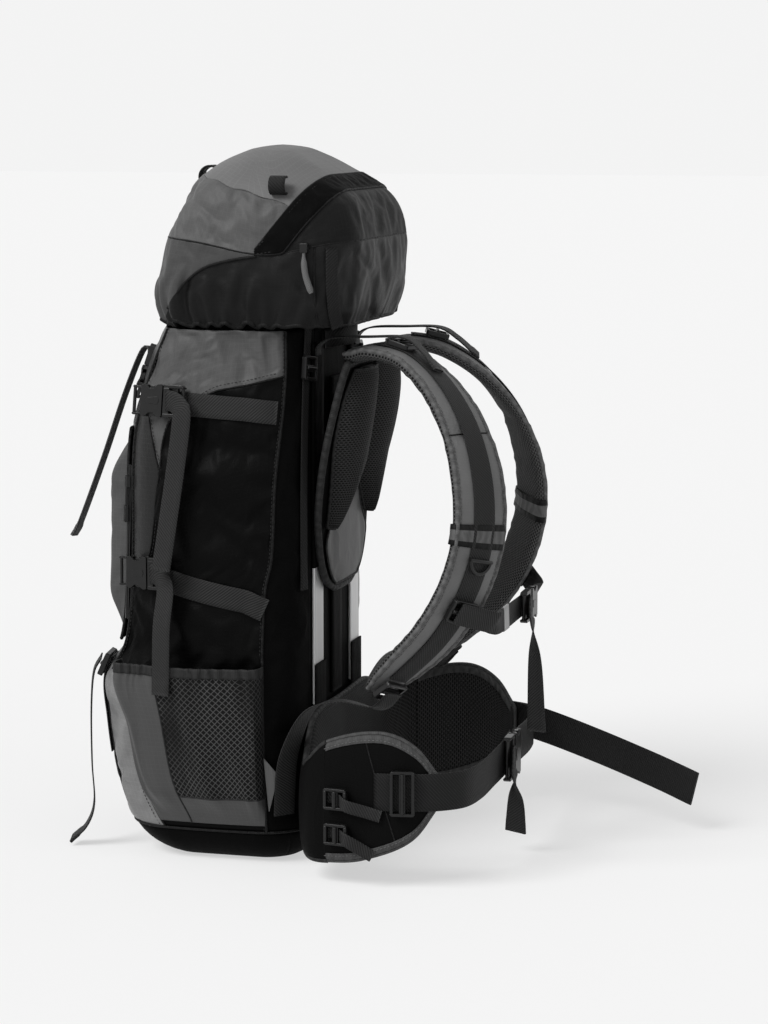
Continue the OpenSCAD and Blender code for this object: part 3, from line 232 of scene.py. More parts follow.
def bag_point(z, c, o=0.0):
    """Point on the bag at height z and column c, o outside its fabric. Columns run from the rear right corner
    by the front."""
    z, c, o = (np.array(a, float) for a in np.broadcast_arrays(z, c, o))
    c = c % ROUND
    low = np.clip(z, 0, BASE_ROUND)
    e = o - (BASE_ROUND - np.sqrt(BASE_ROUND**2 - (BASE_ROUND - low) ** 2))
    w, f, b, corner = half_w(z), front_y(z), BAG_BACK, BAG_CORNER
    r = corner + e
    swell = SIDE_BULGE * np.sin(np.pi * np.clip(z / BAG_H, 0, 1))
    x, y = np.zeros_like(z), np.zeros_like(z)

    def arc(where, cx, cy, angle):
        a = np.radians(angle)
        x[where], y[where] = (cx + r * np.cos(a))[where], (cy + r * np.sin(a))[where]

    def flat(where, px, py):
        x[where], y[where] = (px + 0 * z)[where], (py + 0 * z)[where]

    arc(c < 4, w - corner, b - corner, 45 * (1 - c / 4))
    k = (c - 4) / 4
    flat((c >= 4) & (c < 8), w + e + swell * crown(k), mix(b - corner, f + corner, k))
    arc((c >= 8) & (c < 16), w - corner, f + corner, -90 * (c - 8) / 8)
    k = (c - 16) / 4
    flat((c >= 16) & (c < 20), mix(w - corner, corner - w, k), f - e - swell * crown(k) / 2)
    arc((c >= 20) & (c < 28), corner - w, f + corner, -90 - 90 * (c - 20) / 8)
    k = (c - 28) / 4
    flat((c >= 28) & (c < 32), -w - e - swell * crown(k), mix(f + corner, b - corner, k))
    arc((c >= 32) & (c < 40), corner - w, b - corner, 180 - 90 * (c - 32) / 8)
    k = (c - 40) / 4
    flat((c >= 40) & (c < 44), mix(corner - w, w - corner, k), b + e)
    arc(c >= 44, w - corner, b - corner, 90 - 45 * (c - 44) / 4)
    return np.stack([x, y, z], -1)


def bag_frame(z, c, along_strap):
    """Place on the bag with its directions: along a strap round the bag or down it, across, and outwards."""
    round_it = unit(bag_point(z, c + 0.2) - bag_point(z, c - 0.2))
    down = unit(bag_point(z - 5, c) - bag_point(z + 5, c))
    n = unit(np.cross(round_it, down))
    along = round_it if along_strap == "round" else down
    return bag_point(z, c), along, np.cross(n, along), n


def in_frame(place, points):
    p, x, y, n = place
    points = np.asarray(points, float)
    return p + points[:, :1] * x + points[:, 1:2] * y + points[:, 2:] * n


def turn_in_frame(place, directions):
    return in_frame((np.zeros(3), *place[1:]), directions)


def raised(place, up):
    return (place[0] + place[3] * up, *place[1:])


LID_STEPS = (14, 22, 26, 22, 14)


def lid_dip(y, z):
    """How far the lid's seams sag at its sides, most at the skirt seam."""
    return -LID_DIP * np.exp(-(((y - LID_DIP_Y) / LID_DIP_LONG) ** 2) - ((z - LID_SPLIT) / LID_DIP_TALL) ** 2)


def lid_ring(z, o=0.0):
    """Ring round the lid near height z: from the middle of its rear by the right, the front and the left."""
    w, f, b = float(lid_side(z)), float(lid_front_y(z)), float(lid_back_y(z))
    c = min(LID_CORNER, 0.42 * (b - f), 0.8 * w)
    n0, n1, n2, n3, n4 = LID_STEPS
    a = np.radians(np.linspace(90, 0, n1 + 1)[:-1])
    d = np.radians(np.linspace(0, -90, n3 + 1)[:-1])
    parts = [np.stack([np.linspace(0, w - c, n0 + 1)[:-1], np.full(n0, b + o)], -1),
             np.stack([w - c + (c + o) * np.cos(a), b - c + (c + o) * np.sin(a)], -1),
             np.stack([np.full(n2, w + o), np.linspace(b - c, f + c, n2 + 1)[:-1]], -1),
             np.stack([w - c + (c + o) * np.cos(d), f + c + (c + o) * np.sin(d)], -1),
             np.stack([np.linspace(w - c, 0, n4 + 1), np.full(n4 + 1, f - o)], -1)]
    half = np.concatenate(parts)
    ring = np.concatenate([half, half[-2::-1] * [-1, 1]])
    return np.concatenate([ring, (z + lid_dip(ring[:, 1], z))[:, None]], -1)


def yoke_y(z):
    return YOKE_BACK + np.maximum(0, YOKE_LEAN * smooth((np.asarray(z) - YOKE_LOW) / YOKE_H, LEAN_SHAPE))


def yoke_face(z):
    return yoke_y(z) + YOKE_T


PAD_Y = float(yoke_face(YOKE_TOP))
SHOULDER_N = 90
SHOULDER_LINE = route([
    (SHOULDER_GAP / 2 + SHOULDER_SPREAD * x, PAD_Y + SHOULDER_REACH * y, YOKE_TOP + SHOULDER_DROP * z)
    for x, y, z in SHOULDER_SHAPE], SHOULDER_N)


def shoulder_axes():
    """Directions along the shoulder pad's middle line: across, outwards and along, at each of its points."""
    t = unit(np.gradient(SHOULDER_LINE, axis=0))
    x = unit(np.array([1, 0, 0]) - t * t[:, :1])
    n = np.cross(x, t)
    a = np.radians(smooth(10 * np.arange(SHOULDER_N + 1) / SHOULDER_N, SHOULDER_TURN))[:, None]
    return x * np.cos(a) - n * np.sin(a), n * np.cos(a) + x * np.sin(a), t


PAD_X, PAD_N, PAD_T = shoulder_axes()


def pad_index(i):
    """Point of the pad's middle line, where i counts in thirtieths of its length as the solids do."""
    return int(round(i * SHOULDER_N / 30))


def over_pad(i, up):
    """Point above the pad's middle line."""
    j = pad_index(i)
    return SHOULDER_LINE[j] + PAD_N[j] * up


LUMBAR_Y = BAG_BACK + BELT_T / 2 + SEAM
BELT_LINE = list(enumerate(np.array([
    (0, LUMBAR_Y, 0), (60, LUMBAR_Y, 0), (112, LUMBAR_Y, 0), (HINGE_X - 36, LUMBAR_Y + 4, 0),
    (HINGE_X - 9, LUMBAR_Y + 17, 0), (HINGE_X, HINGE_Y, 0), (HINGE_X + 5, HINGE_Y + 40, 0),
    (HINGE_X + 2, HINGE_Y + 85, 0), (HINGE_X - 7, HINGE_Y + 118, 0)], float)))
BELT_TOP = [(0, LUMBAR_TOP + 8), (2, LUMBAR_TOP + 4), (3, LUMBAR_TOP - 34), (4, LUMBAR_TOP - 24),
            (5, LUMBAR_TOP - 3), (6.4, WING_TOP), (7.3, WING_TOP - 16), (8, BELT_Z + 14)]
BELT_BOTTOM = [(0, BELT_LOW + 14), (2, BELT_LOW + 8), (4, BELT_LOW), (5, BELT_LOW), (6, BELT_LOW + 6),
               (7.2, BELT_LOW + 30), (8, BELT_Z - 14)]


def belt_out(s):
    t = unit(smooth(np.minimum(s + 0.05, 8), BELT_LINE) - smooth(np.maximum(s - 0.05, 0), BELT_LINE))
    return np.stack([t[..., 1], -t[..., 0], 0 * t[..., 0]], -1)


def belt_half(s, v):
    ends = np.where(s > 7, mix(1, 0.45, s - 7), 1 - 0.4 * np.exp(-s * s / 0.2))
    return BELT_T / 2 * (0.3 + 0.7 * np.sqrt(np.maximum(crown(v), 0))) * ends


def belt_point(s, v, o):
    """Point on the belt at place s and share v of its height, o from its middle surface."""
    p = smooth(s, BELT_LINE) + belt_out(s) * np.asarray(o)[..., None]
    z = mix(smooth(s, BELT_BOTTOM), smooth(s, BELT_TOP), v)
    return np.concatenate([p[..., :2], (z + 0 * p[..., 0])[..., None]], -1)


def on_wing(s, z, o):
    """Point on the outer face of the right wing."""
    s = np.asarray(s, float)
    v = (z - smooth(s, BELT_BOTTOM)) / (smooth(s, BELT_TOP) - smooth(s, BELT_BOTTOM))
    return belt_point(s, v, belt_half(s, v) + o)


# Materials

def grey(tone):
    return tone, tone, tone, 1


class Shader:
    """A node material with a few short ways to add nodes. Texture sizes are in millimetres of cloth."""

    def __init__(self, name, rough, **sockets):
        self.material = bpy.data.materials.new(name)
        self.material.use_nodes = True
        self.nodes = self.material.node_tree.nodes
        self.links = self.material.node_tree.links
        self.bsdf = self.nodes["Principled BSDF"]
        self.bsdf.inputs["Roughness"].default_value = rough
        for socket, value in sockets.items():
            self.bsdf.inputs[socket.replace("_", " ")].default_value = value
        uv = self.nodes.new("ShaderNodeUVMap")
        split = self.nodes.new("ShaderNodeSeparateXYZ")
        self.links.new(uv.outputs["UV"], split.inputs[0])
        self.u = self.math("MULTIPLY", split.outputs[0], 100)
        self.v = self.math("MULTIPLY", split.outputs[1], 100)
        self.place = self.nodes.new("ShaderNodeTexCoord").outputs["Object"]

    def put(self, value, socket):
        if isinstance(value, bpy.types.NodeSocket):
            self.links.new(value, socket)
        else:
            socket.default_value = value

    def math(self, operation, a, b=0.0, c=0.0):
        node = self.nodes.new("ShaderNodeMath")
        node.operation = operation
        for value, socket in zip((a, b, c), node.inputs):
            self.put(value, socket)
        return node.outputs[0]

    def noise(self, size, detail, stretch=(1, 1, 1), distortion=0.0):
        mapping = self.nodes.new("ShaderNodeMapping")
        mapping.inputs["Scale"].default_value = stretch
        self.links.new(self.place, mapping.inputs["Vector"])
        node = self.nodes.new("ShaderNodeTexNoise")
        node.inputs["Scale"].default_value = 1000 / size
        node.inputs["Detail"].default_value = detail
        node.inputs["Distortion"].default_value = distortion
        self.links.new(mapping.outputs[0], node.inputs["Vector"])
        return node.outputs["Fac"]

    def crease(self, size, stretch=(1, 1, 1)):
        """Sharp folds: 1 along their ridges, 0 between."""
        swing = self.math("MULTIPLY_ADD", self.noise(size, 2, stretch, 1.2), 2.0, -1.0)
        return self.math("POWER", self.math("SUBTRACT", 1.0, self.math("ABSOLUTE", swing)), 5.0)

    def wave(self, place, period):
        """A ripple from 0 to 1."""
        turn = self.math("MULTIPLY", place, 2 * math.pi / period)
        return self.math("MULTIPLY_ADD", self.math("SINE", turn), 0.5, 0.5)

    def lines(self, place, period, share):
        """1 on a share of each period, and 0 between."""
        part = self.math("FRACT", self.math("DIVIDE", place, period))
        return self.math("LESS_THAN", part, share)

    def colour(self, dark, light, factor):
        node = self.nodes.new("ShaderNodeMix")
        node.data_type = "RGBA"
        self.put(factor, node.inputs[0])
        node.inputs["A"].default_value = grey(dark)
        node.inputs["B"].default_value = grey(light)
        self.links.new(node.outputs["Result"], self.bsdf.inputs["Base Color"])

    def skirt_sheen_front(self, rest):
        """1 on the lid skirt in front of its slanted seam, where its painted sheen goes, and rest behind it."""
        split = self.nodes.new("ShaderNodeSeparateXYZ")
        self.links.new(self.place, split.inputs[0])
        y = self.math("DIVIDE", split.outputs[1], MM)
        z = self.math("DIVIDE", split.outputs[2], MM)
        line_y, line_z = np.array(LID_SLANT, float).T
        a, b, c, d = (float(k) for k in np.polyfit(line_y, line_z + lid_dip(line_y, line_z), 3))
        height = self.math("MULTIPLY_ADD", y, a, b)
        for k in (c, d):
            height = self.math("MULTIPLY_ADD", height, y, k)
        above = self.math("GREATER_THAN", z, height)
        before = self.math("LESS_THAN", y, line_y[-1] + 4)
        return self.math("MULTIPLY_ADD", self.math("MULTIPLY", above, before), 1 - rest, rest)

    def bump(self, *layers):
        """Stacked bumps, each of a height, a depth in millimetres and a strength."""
        normal = None
        for height, depth, strength in layers:
            node = self.nodes.new("ShaderNodeBump")
            node.inputs["Distance"].default_value = depth * MM
            node.inputs["Strength"].default_value = strength
            self.links.new(height, node.inputs["Height"])
            if normal is not None:
                self.links.new(normal, node.inputs["Normal"])
            normal = node.outputs[0]
        self.links.new(normal, self.bsdf.inputs["Normal"])


RIP_DARK, RIP_LIGHT = 0.78, 1.16           # shares of a ripstop's tone


def ripstop(name, tone, rough, shine, sheen_tone=None):
    """Fine nylon with the raised grid of ripstop and soft creases. The lid skirt's front part is painted lighter
    to a tone of its own: painted sheen.
    """
    s = Shader(name, rough, Specular_IOR_Level=shine)
    grid = s.math("MAXIMUM", s.lines(s.u, 5, 0.12), s.lines(s.v, 5, 0.12))
    weave = s.math("MULTIPLY", s.wave(s.u, 0.9), s.wave(s.v, 0.9))
    blotch = s.noise(60, 4)
    shade = s.math("MULTIPLY_ADD", grid, 0.35, s.math("MULTIPLY", blotch, 0.7))
    # Painted sheen: the skirt's black cloth in front of its slanted seam is lightened to stand for its reflection.
    if sheen_tone:
        part = s.math("MULTIPLY_ADD", shade, RIP_LIGHT - RIP_DARK, RIP_DARK)
        s.colour(0, sheen_tone, s.math("MULTIPLY", part, s.skirt_sheen_front(tone / sheen_tone)))
    else:
        s.colour(tone * RIP_DARK, tone * RIP_LIGHT, shade)
    s.bump((s.crease(90), 2.5, 0.12), (s.crease(38), 1.2, 0.14), (s.noise(30, 2), 3, 0.1),
           (s.noise(11, 3), 1.0, 0.2), (grid, 0.25, 0.5), (weave, 0.15, 0.3))
    return s.material


def pack_cloth(name, tone, rough, shine=0.2):
    """Heavier plain-woven pack cloth."""
    s = Shader(name, rough, Specular_IOR_Level=shine)
    weave = s.math("MULTIPLY", s.wave(s.u, 1.6), s.wave(s.v, 1.6))
    blotch = s.noise(45, 4)
    s.colour(tone * 0.7, tone * 1.3, s.math("MULTIPLY_ADD", weave, 0.3, s.math("MULTIPLY", blotch, 0.7)))
    s.bump((s.crease(60, (1, 1, 0.6)), 1.5, 0.3), (s.noise(30, 2), 4, 0.2), (s.noise(9, 3), 0.9, 0.22),
           (weave, 0.3, 0.5))
    return s.material


def webbing_cloth(name, tone, rib=3.4):
    """Flat webbing with slanted ribs that meet in the middle, and two firm edges."""
    s = Shader(name, 0.6, Specular_IOR_Level=0.15)
    slant = s.math("ADD", s.u, s.math("MULTIPLY", s.v, 0.9))
    ribs = s.wave(slant, rib)
    threads = s.wave(s.v, 1.3)
    s.colour(tone * 0.5, tone * 1.6, s.math("MULTIPLY_ADD", threads, 0.25, s.math("MULTIPLY", ribs, 0.75)))
    s.bump((ribs, 0.7, 0.6), (threads, 0.25, 0.4))
    return s.material


def binding_tape(name, tone, pucker_shade_share=0.6):
    """Grosgrain edge tape, ribbed across its length and puckered by its stitches, with painted shade in the
    puckers' hollows and painted light on their ridges.
    """
    s = Shader(name, 0.6, Specular_IOR_Level=0.15)
    ribs = s.wave(s.u, 1.8)
    pucker = s.wave(s.math("ADD", s.u, s.math("MULTIPLY", s.noise(16, 2), 18)), 11)
    # Painted light and shade: the colour follows the pucker bump, darker in its hollows.
    s.colour(tone * 0.65, tone * 1.25, s.math("MULTIPLY_ADD", ribs, 0.4, s.math("MULTIPLY", pucker, pucker_shade_share)))
    s.bump((pucker, 1.4, 0.5), (ribs, 0.4, 0.5))
    return s.material


def net_cloth(name, thread, gap, size):
    """Open net: crossing threads over dark gaps, with painted light and shade on its folds."""
    s = Shader(name, 0.6, Specular_IOR_Level=0.15)
    a = s.math("ADD", s.u, s.v)
    b = s.math("SUBTRACT", s.u, s.v)
    knots = s.math("MAXIMUM", s.lines(a, size, 0.17), s.lines(b, size, 0.17))
    folds = s.noise(46, 2, (1, 1, 0.4), 0.6)
    # Painted light and shade: the threads are lighter on the folds' ridges and fade to the gaps' dark in their
    # hollows.
    s.colour(gap, thread, s.math("MULTIPLY", knots, s.math("MULTIPLY_ADD", folds, 3.0, -0.75)))
    s.bump((folds, 6, 0.3), (knots, 0.8, 0.6))
    return s.material


def spacer_mesh(name, thread, gap, size):
    """Thick back-pad mesh with rows of small holes."""
    s = Shader(name, 0.7, Specular_IOR_Level=0.1)
    row = s.math("FLOOR", s.math("DIVIDE", s.v, size * 0.5))
    shifted = s.math("MULTIPLY_ADD", row, size * 0.5, s.u)
    hole = s.math("MULTIPLY", s.wave(shifted, size), s.wave(s.v, size * 0.5))
    mask = s.math("SMOOTH_MIN", s.math("MULTIPLY", hole, 2.4), 1.0, 0.2)
    s.colour(thread, gap, mask)
    s.bump((s.noise(40, 2), 3, 0.15), (s.math("SUBTRACT", 1.0, mask), 0.9, 0.6))
    return s.material


def moulded(name, tone, rough):
    """Moulded buckle plastic: fine grain, and a little paler in scattered patches, which are painted highlights.
    """
    s = Shader(name, rough, Specular_IOR_Level=0.28)
    grain = s.noise(1.4, 2)
    # Painted highlight: scattered paler patches stand for glints of light on the plastic.
    glints = s.noise(9, 4)
    s.colour(tone * 0.8, tone * 1.7, s.math("POWER", glints, 2.5))
    s.bump((grain, 0.12, 0.25))
    return s.material


def brushed(name, tone):
    """Bare aluminium strip, drawn along its length."""
    s = Shader(name, 0.46, Metallic=0.75)
    drawn = s.noise(4, 4, stretch=(1, 1, 0.03))
    s.colour(tone * 0.85, tone * 1.08, drawn)
    s.bump((drawn, 0.1, 0.2))
    return s.material


def cord_cloth(name, tone):
    """Braided cord."""
    s = Shader(name, 0.65, Specular_IOR_Level=0.15)
    braid = s.math("MULTIPLY", s.wave(s.math("ADD", s.u, s.v), 2.2), s.wave(s.math("SUBTRACT", s.u, s.v), 2.2))
    s.colour(tone * 0.6, tone * 1.2, braid)
    s.bump((braid, 0.4, 0.6))
    return s.material


GREY = ripstop("grey_ripstop", 0.078, 0.5, shine=0.2)
# The lid's top and its front wall are one grey cloth: the top is painted lighter and the wall darker, as painted
# light and shade over a slight difference of their own colour.
GREY_TOP_LIT = ripstop("grey_lid_ripstop_painted_light", 0.145, 0.55, shine=0.2)
GREY_WALL_SHADED = ripstop("grey_lid_wall_ripstop_painted_shade", 0.09, 0.5, shine=0.2)
GREY_SHEEN = ripstop("grey_corner_cloth", 0.17, 0.4, shine=0.5)
DARK = ripstop("dark_gusset_ripstop", 0.009, 0.34, shine=0.25)
BLACK = ripstop("black_ripstop", 0.0022, 0.44, shine=0.05)
SKIRT = ripstop("lid_skirt_ripstop", 0.007, 0.5, shine=0.09)
# The skirt's front part is black cloth painted lighter, a painted sheen.
SKIRT_SHEEN = ripstop("lid_skirt_painted_sheen_ripstop", 0.008, 0.46, 0.12, sheen_tone=0.066)
BLACK_CLOTH = pack_cloth("black_pack_cloth", 0.0026, 0.62, shine=0.03)
WING_CLOTH = pack_cloth("black_wing_cloth", 0.0034, 0.62, shine=0.04)
PAD_GREY = pack_cloth("grey_pad_cloth", 0.15, 0.55, shine=0.2)
PANEL_GREY = pack_cloth("grey_panel_cloth", 0.09, 0.5, shine=0.25)
LINING = spacer_mesh("pad_lining_mesh", 0.085, 0.004, 4.6)
BACK_MESH = spacer_mesh("back_pad_mesh", 0.045, 0.003, 5.2)
NET = net_cloth("pocket_net", 0.072, 0.001, 6.6)
POCKET_GREY = ripstop("grey_pocket_cloth", 0.05, 0.42, shine=0.4)
WEB = webbing_cloth("black_webbing", 0.018)
WEB_DARK = webbing_cloth("black_belt_webbing", 0.010, 3.6)
WEB_PALE = webbing_cloth("grey_webbing", 0.06)
TAPE = binding_tape("grey_binding", 0.07, 0.3)
TAPE_PAD = binding_tape("pad_edge_binding", 0.105)
TAPE_DARK = binding_tape("black_binding", 0.006)
TAPE_MID = binding_tape("dark_grey_binding", 0.022)
PLASTIC = moulded("buckle_plastic", 0.008, 0.3)
ZIP = moulded("zip_coil", 0.006, 0.45)
METAL = brushed("stay_aluminium", 0.62)
BOARD = moulded("frame_sheet_plastic", 0.2, 0.5)
CORD_GREY = cord_cloth("grey_cord", 0.16)
THREAD = cord_cloth("sewing_thread", 0.03)
THREAD_PALE = cord_cloth("pale_sewing_thread", 0.16)
TAG = pack_cloth("blank_tag_cloth", 0.42, 0.6)


# Meshes

def in_scene(name, data):
    obj = bpy.data.objects.new(name, data)
    bpy.context.collection.objects.link(obj)
    return obj


def add_object(name, points, faces, material, body, uvs=None, materials=None, kinds=None, closed=False):
    """Object from points in millimetres, which rides on a body if one is named. A closed skin is joined where its
    ends meet."""
    mesh = bpy.data.meshes.new(name)
    mesh.from_pydata((np.asarray(points, float).reshape(-1, 3) * MM).tolist(), [], faces)
    mesh.polygons.foreach_set("use_smooth", [True] * len(mesh.polygons))
    if uvs is not None:
        corner = np.zeros(len(mesh.loops), int)
        mesh.loops.foreach_get("vertex_index", corner)
        layer = mesh.uv_layers.new(name="UVMap")
        layer.data.foreach_set("uv", (np.asarray(uvs, float).reshape(-1, 2)[corner] / 100).ravel())
    for m in materials or [material]:
        mesh.materials.append(m)
    if kinds is not None:
        mesh.polygons.foreach_set("material_index", kinds)
    if closed:
        skin = bmesh.new()
        skin.from_mesh(mesh)
        bmesh.ops.remove_doubles(skin, verts=skin.verts, dist=1e-6)
        skin.to_mesh(mesh)
        skin.free()
    obj = in_scene(name, mesh)
    if body:
        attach(obj, body)
    return obj


def grid_faces(rows, cols, flip=False):
    r, c = np.meshgrid(np.arange(rows - 1), np.arange(cols - 1), indexing="ij")
    a = (r * cols + c).ravel()
    quads = np.stack([a, a + 1, a + cols + 1, a + cols], -1)
    return (quads[:, ::-1] if flip else quads).tolist()


def shell_faces(rows, cols, flip=False):
    """Faces of a skin from closed rings, with a face on its first and on its last ring."""
    last = (rows - 1) * cols
    return grid_faces(rows, cols, flip) + [list(range(cols - 1)), list(range(last + cols - 2, last - 1, -1))]


def rim(grid, s=1):
    """Closed line in even steps round the edge of a grid."""
    edge = mirrored(np.concatenate([grid[:, 0], grid[-1], grid[::-1, -1], grid[0, ::-1]]), s)
    return even(np.concatenate([edge, edge[:1]]), RIM_STEP)[:-1]


def grid_uvs(points):
    """Lengths over the cloth in millimetres, taken along its middle row and its middle column."""
    rows, cols = points.shape[:2]
    u = run_lengths(points[rows // 2])
    v = run_lengths(points[:, cols // 2])
    return np.stack(np.meshgrid(u, v), -1)


def thicken(obj, thick, offset=-1.0):
    m = obj.modifiers.new("thickness", "SOLIDIFY")
    m.thickness = thick * MM
    m.offset = offset
    return obj


def soften(obj):
    m = obj.modifiers.new("smooth", "SUBSURF")
    m.levels = m.render_levels = 1


CLOTH_FRAMES = 18
CLOTH = dict(quality=6, mass=0.2, tension_stiffness=20, compression_stiffness=20, shear_stiffness=8,
             tension_damping=12, compression_damping=12, shear_damping=12, vertex_group_mass="sewn",
             use_pressure=True)


def settle(obj, pinned, slack, pressure, cap, bend=0.15):
    """Cloth simulation: slack fabric swells between its sewn edges and creases there. pinned has a weight per
    point, and cap is about the most that a point moves."""
    mesh = obj.data
    start = np.zeros(len(mesh.vertices) * 3)
    mesh.vertices.foreach_get("co", start)
    group = obj.vertex_groups.new(name="sewn")
    for i in np.flatnonzero(np.asarray(pinned).ravel() > 0.5):
        group.add([int(i)], 1.0, "REPLACE")
    m = obj.modifiers.new("cloth", "CLOTH")
    s = m.settings
    for setting, value in CLOTH.items():
        setattr(s, setting, value)
    s.bending_stiffness = bend
    s.shrink_min = s.shrink_max = -slack
    s.uniform_pressure_force = pressure
    s.effector_weights.gravity = 0
    m.collision_settings.use_collision = False
    m.point_cache.frame_start = 1
    m.point_cache.frame_end = CLOTH_FRAMES
    for f in range(1, CLOTH_FRAMES + 1):
        bpy.context.scene.frame_set(f)
    seen = obj.evaluated_get(bpy.context.evaluated_depsgraph_get()).data
    end = np.zeros_like(start)
    seen.vertices.foreach_get("co", end)
    obj.modifiers.remove(m)
    bpy.context.scene.frame_set(1)
    move = (end - start).reshape(-1, 3)
    size = np.linalg.norm(move, axis=-1, keepdims=True)
    limit = cap * MM
    move *= np.where(size > 0, limit * np.tanh(size / limit) / np.maximum(size, 1e-9), 1)
    mesh.vertices.foreach_set("co", start + move.ravel())
    mesh.update()


def panel(name, points, material, body, flip=False, pinned=None, **cloth):
    """Sewn panel from a grid of points. Its edges are always pinned, and what pinned marks as well."""
    rows, cols = points.shape[:2]
    obj = add_object(name, points, grid_faces(rows, cols, flip), material, body, grid_uvs(points))
    if cloth:
        hold = np.zeros((rows, cols))
        hold[0], hold[-1], hold[:, 0], hold[:, -1] = 1, 1, 1, 1
        settle(obj, hold if pinned is None else np.maximum(hold, pinned), **cloth)
    soften(obj)
    return thicken(obj, PANEL_T)


def cloth_frame(points):
    """Lengths along the rows of a grid and up its columns, and its normals."""
    along = np.stack([run_lengths(row) for row in points])
    up = np.stack([run_lengths(points[:, j]) for j in range(points.shape[1])], 1)
    normal = np.cross(np.gradient(points, axis=1), np.gradient(points, axis=0))
    return along, up, normal / np.maximum(np.linalg.norm(normal, axis=-1, keepdims=True), 1e-9)


def puckered(points, top, low, seed):
    """Grid with small folds that start at its top and low edges, where their thread gathers the cloth."""
    rng = np.random.default_rng(seed)
    along, up, normal = cloth_frame(points)
    folds = np.zeros(points.shape[:2])
    for wave in (16, 23, 37, 61):
        reach = wave * 0.8
        for depth, away in ((low, up), (top, up[-1:] - up)):
            phase, slow, lean = rng.uniform(0, 6.28), rng.uniform(0, 6.28), rng.uniform(-0.06, 0.06)
            ripple = np.sin(2 * np.pi * along / wave + phase + away * lean)
            ripple = ripple * (0.35 + 0.65 * np.sin(along / 31 + slow) ** 2)
            folds += depth * ripple * away / reach * np.exp(1 - away / reach)
    return points + normal * folds[..., None]


def rumpled(points, count, depth, width, length, lean, seed, free):
    """Grid with scattered folds, long and narrow, each near lean degrees from upright. Its edges stay, and so does
    what is not free."""
    rng = np.random.default_rng(seed)
    along, up, normal = cloth_frame(points)
    lift = np.zeros(points.shape[:2])
    for _ in range(count):
        x, z = rng.uniform(0, along.max()), rng.uniform(0, up.max())
        turn = np.radians(lean + rng.normal(0, 16))
        run = (along - x) * np.sin(turn) + (up - z) * np.cos(turn)
        off = (along - x) * np.cos(turn) - (up - z) * np.sin(turn)
        wide, long = width * rng.uniform(0.6, 1.5), length * rng.uniform(0.6, 1.4)
        lift += depth * rng.uniform(-0.6, 1) * np.exp(-(np.abs(off / wide) ** 1.4) - (run / long) ** 2)
    edge = np.minimum(np.minimum(up, up[-1:] - up), np.minimum(along, along[:, -1:] - along))
    return points + normal * (lift * free * step_up(edge / 9))[..., None]


def tube(name, line, radius, material, body, sides=10, closed=False):
    """Round cord or piping along a line."""
    line = np.asarray(line, float)
    t = unit(np.gradient(line, axis=0))
    if closed:
        t = unit(np.roll(line, -1, 0) - np.roll(line, 1, 0))
    side = unit(np.cross(t[0], ODD_WAY))
    rings, radius = [], np.broadcast_to(np.asarray(radius, float), len(line))
    for p, d, r in zip(line, t, radius):
        side = unit(side - d * side.dot(d))
        up = np.cross(d, side)
        a = np.linspace(0, 2 * np.pi, sides + 1)[:, None]
        rings.append(p + r * (np.cos(a) * side + np.sin(a) * up))
    if closed:
        rings.append(rings[0])
    rings = np.array(rings)
    lengths = run_lengths(np.concatenate([line, line[:1]]) if closed else line)
    around = np.linspace(0, 2 * np.pi * float(radius.mean()), sides + 1)
    uvs = np.stack(np.meshgrid(around, lengths), -1)[..., ::-1]
    faces = (grid_faces if closed else shell_faces)(len(rings), sides + 1)
    return add_object(name, rings, faces, material, body, uvs, closed=True)


# Section of webbing, in half widths and half thicknesses
RIBBON_EDGE = [(1, 0.4), (0.95, 1), (0.5, 1), (0, 1), (-0.5, 1), (-0.95, 1), (-1, 0.4), (-1, -0.4),
               (-0.95, -1), (-0.5, -1), (0, -1), (0.5, -1), (0.95, -1), (1, -0.4), (1, 0.4)]


def ribbon(name, line, across, width, material, body, thick=WEB_T, hem=0.0, step=4.0):
    """Webbing along a line, with its width direction at each point. hem is the length of its folded, sewn end."""
    line, across = np.asarray(line, float), np.broadcast_to(np.asarray(across, float), np.shape(line))
    places = run_lengths(line)
    n = max(3, int(places[-1] / step) + 1)
    even_places = np.linspace(0, places[-1], n)
    line, across = (at_lengths(even_places, places, rows) for rows in (line, across))
    t = unit(np.gradient(line, axis=0))
    w = unit(across - t * (across * t).sum(-1, keepdims=True))
    up = np.cross(t, w)
    half = np.where(even_places > places[-1] - hem, thick, thick / 2)
    edge = np.array(RIBBON_EDGE)
    rings = (line[:, None] + w[:, None] * (edge[:, 0] * width / 2)[None, :, None]
             + up[:, None] * (half[:, None] * edge[:, 1])[..., None])
    u = np.broadcast_to(even_places[:, None], rings.shape[:2])
    v = np.broadcast_to(((edge[:, 0] + 1) * width / 2)[None], rings.shape[:2])
    return add_object(name, rings, shell_faces(n, len(edge)), material, body, np.stack([u, v], -1), closed=True)


# Stitches: pitch, length, radius, sides, and rows of size and place along
STITCH_PITCH, STITCH_LONG, STITCH_R, STITCH_SIDES = 4.2, 2.9, 0.42, 6
STITCH_ROWS = ((0.4, -0.5), (1, -0.2), (1, 0.2), (0.4, 0.5))


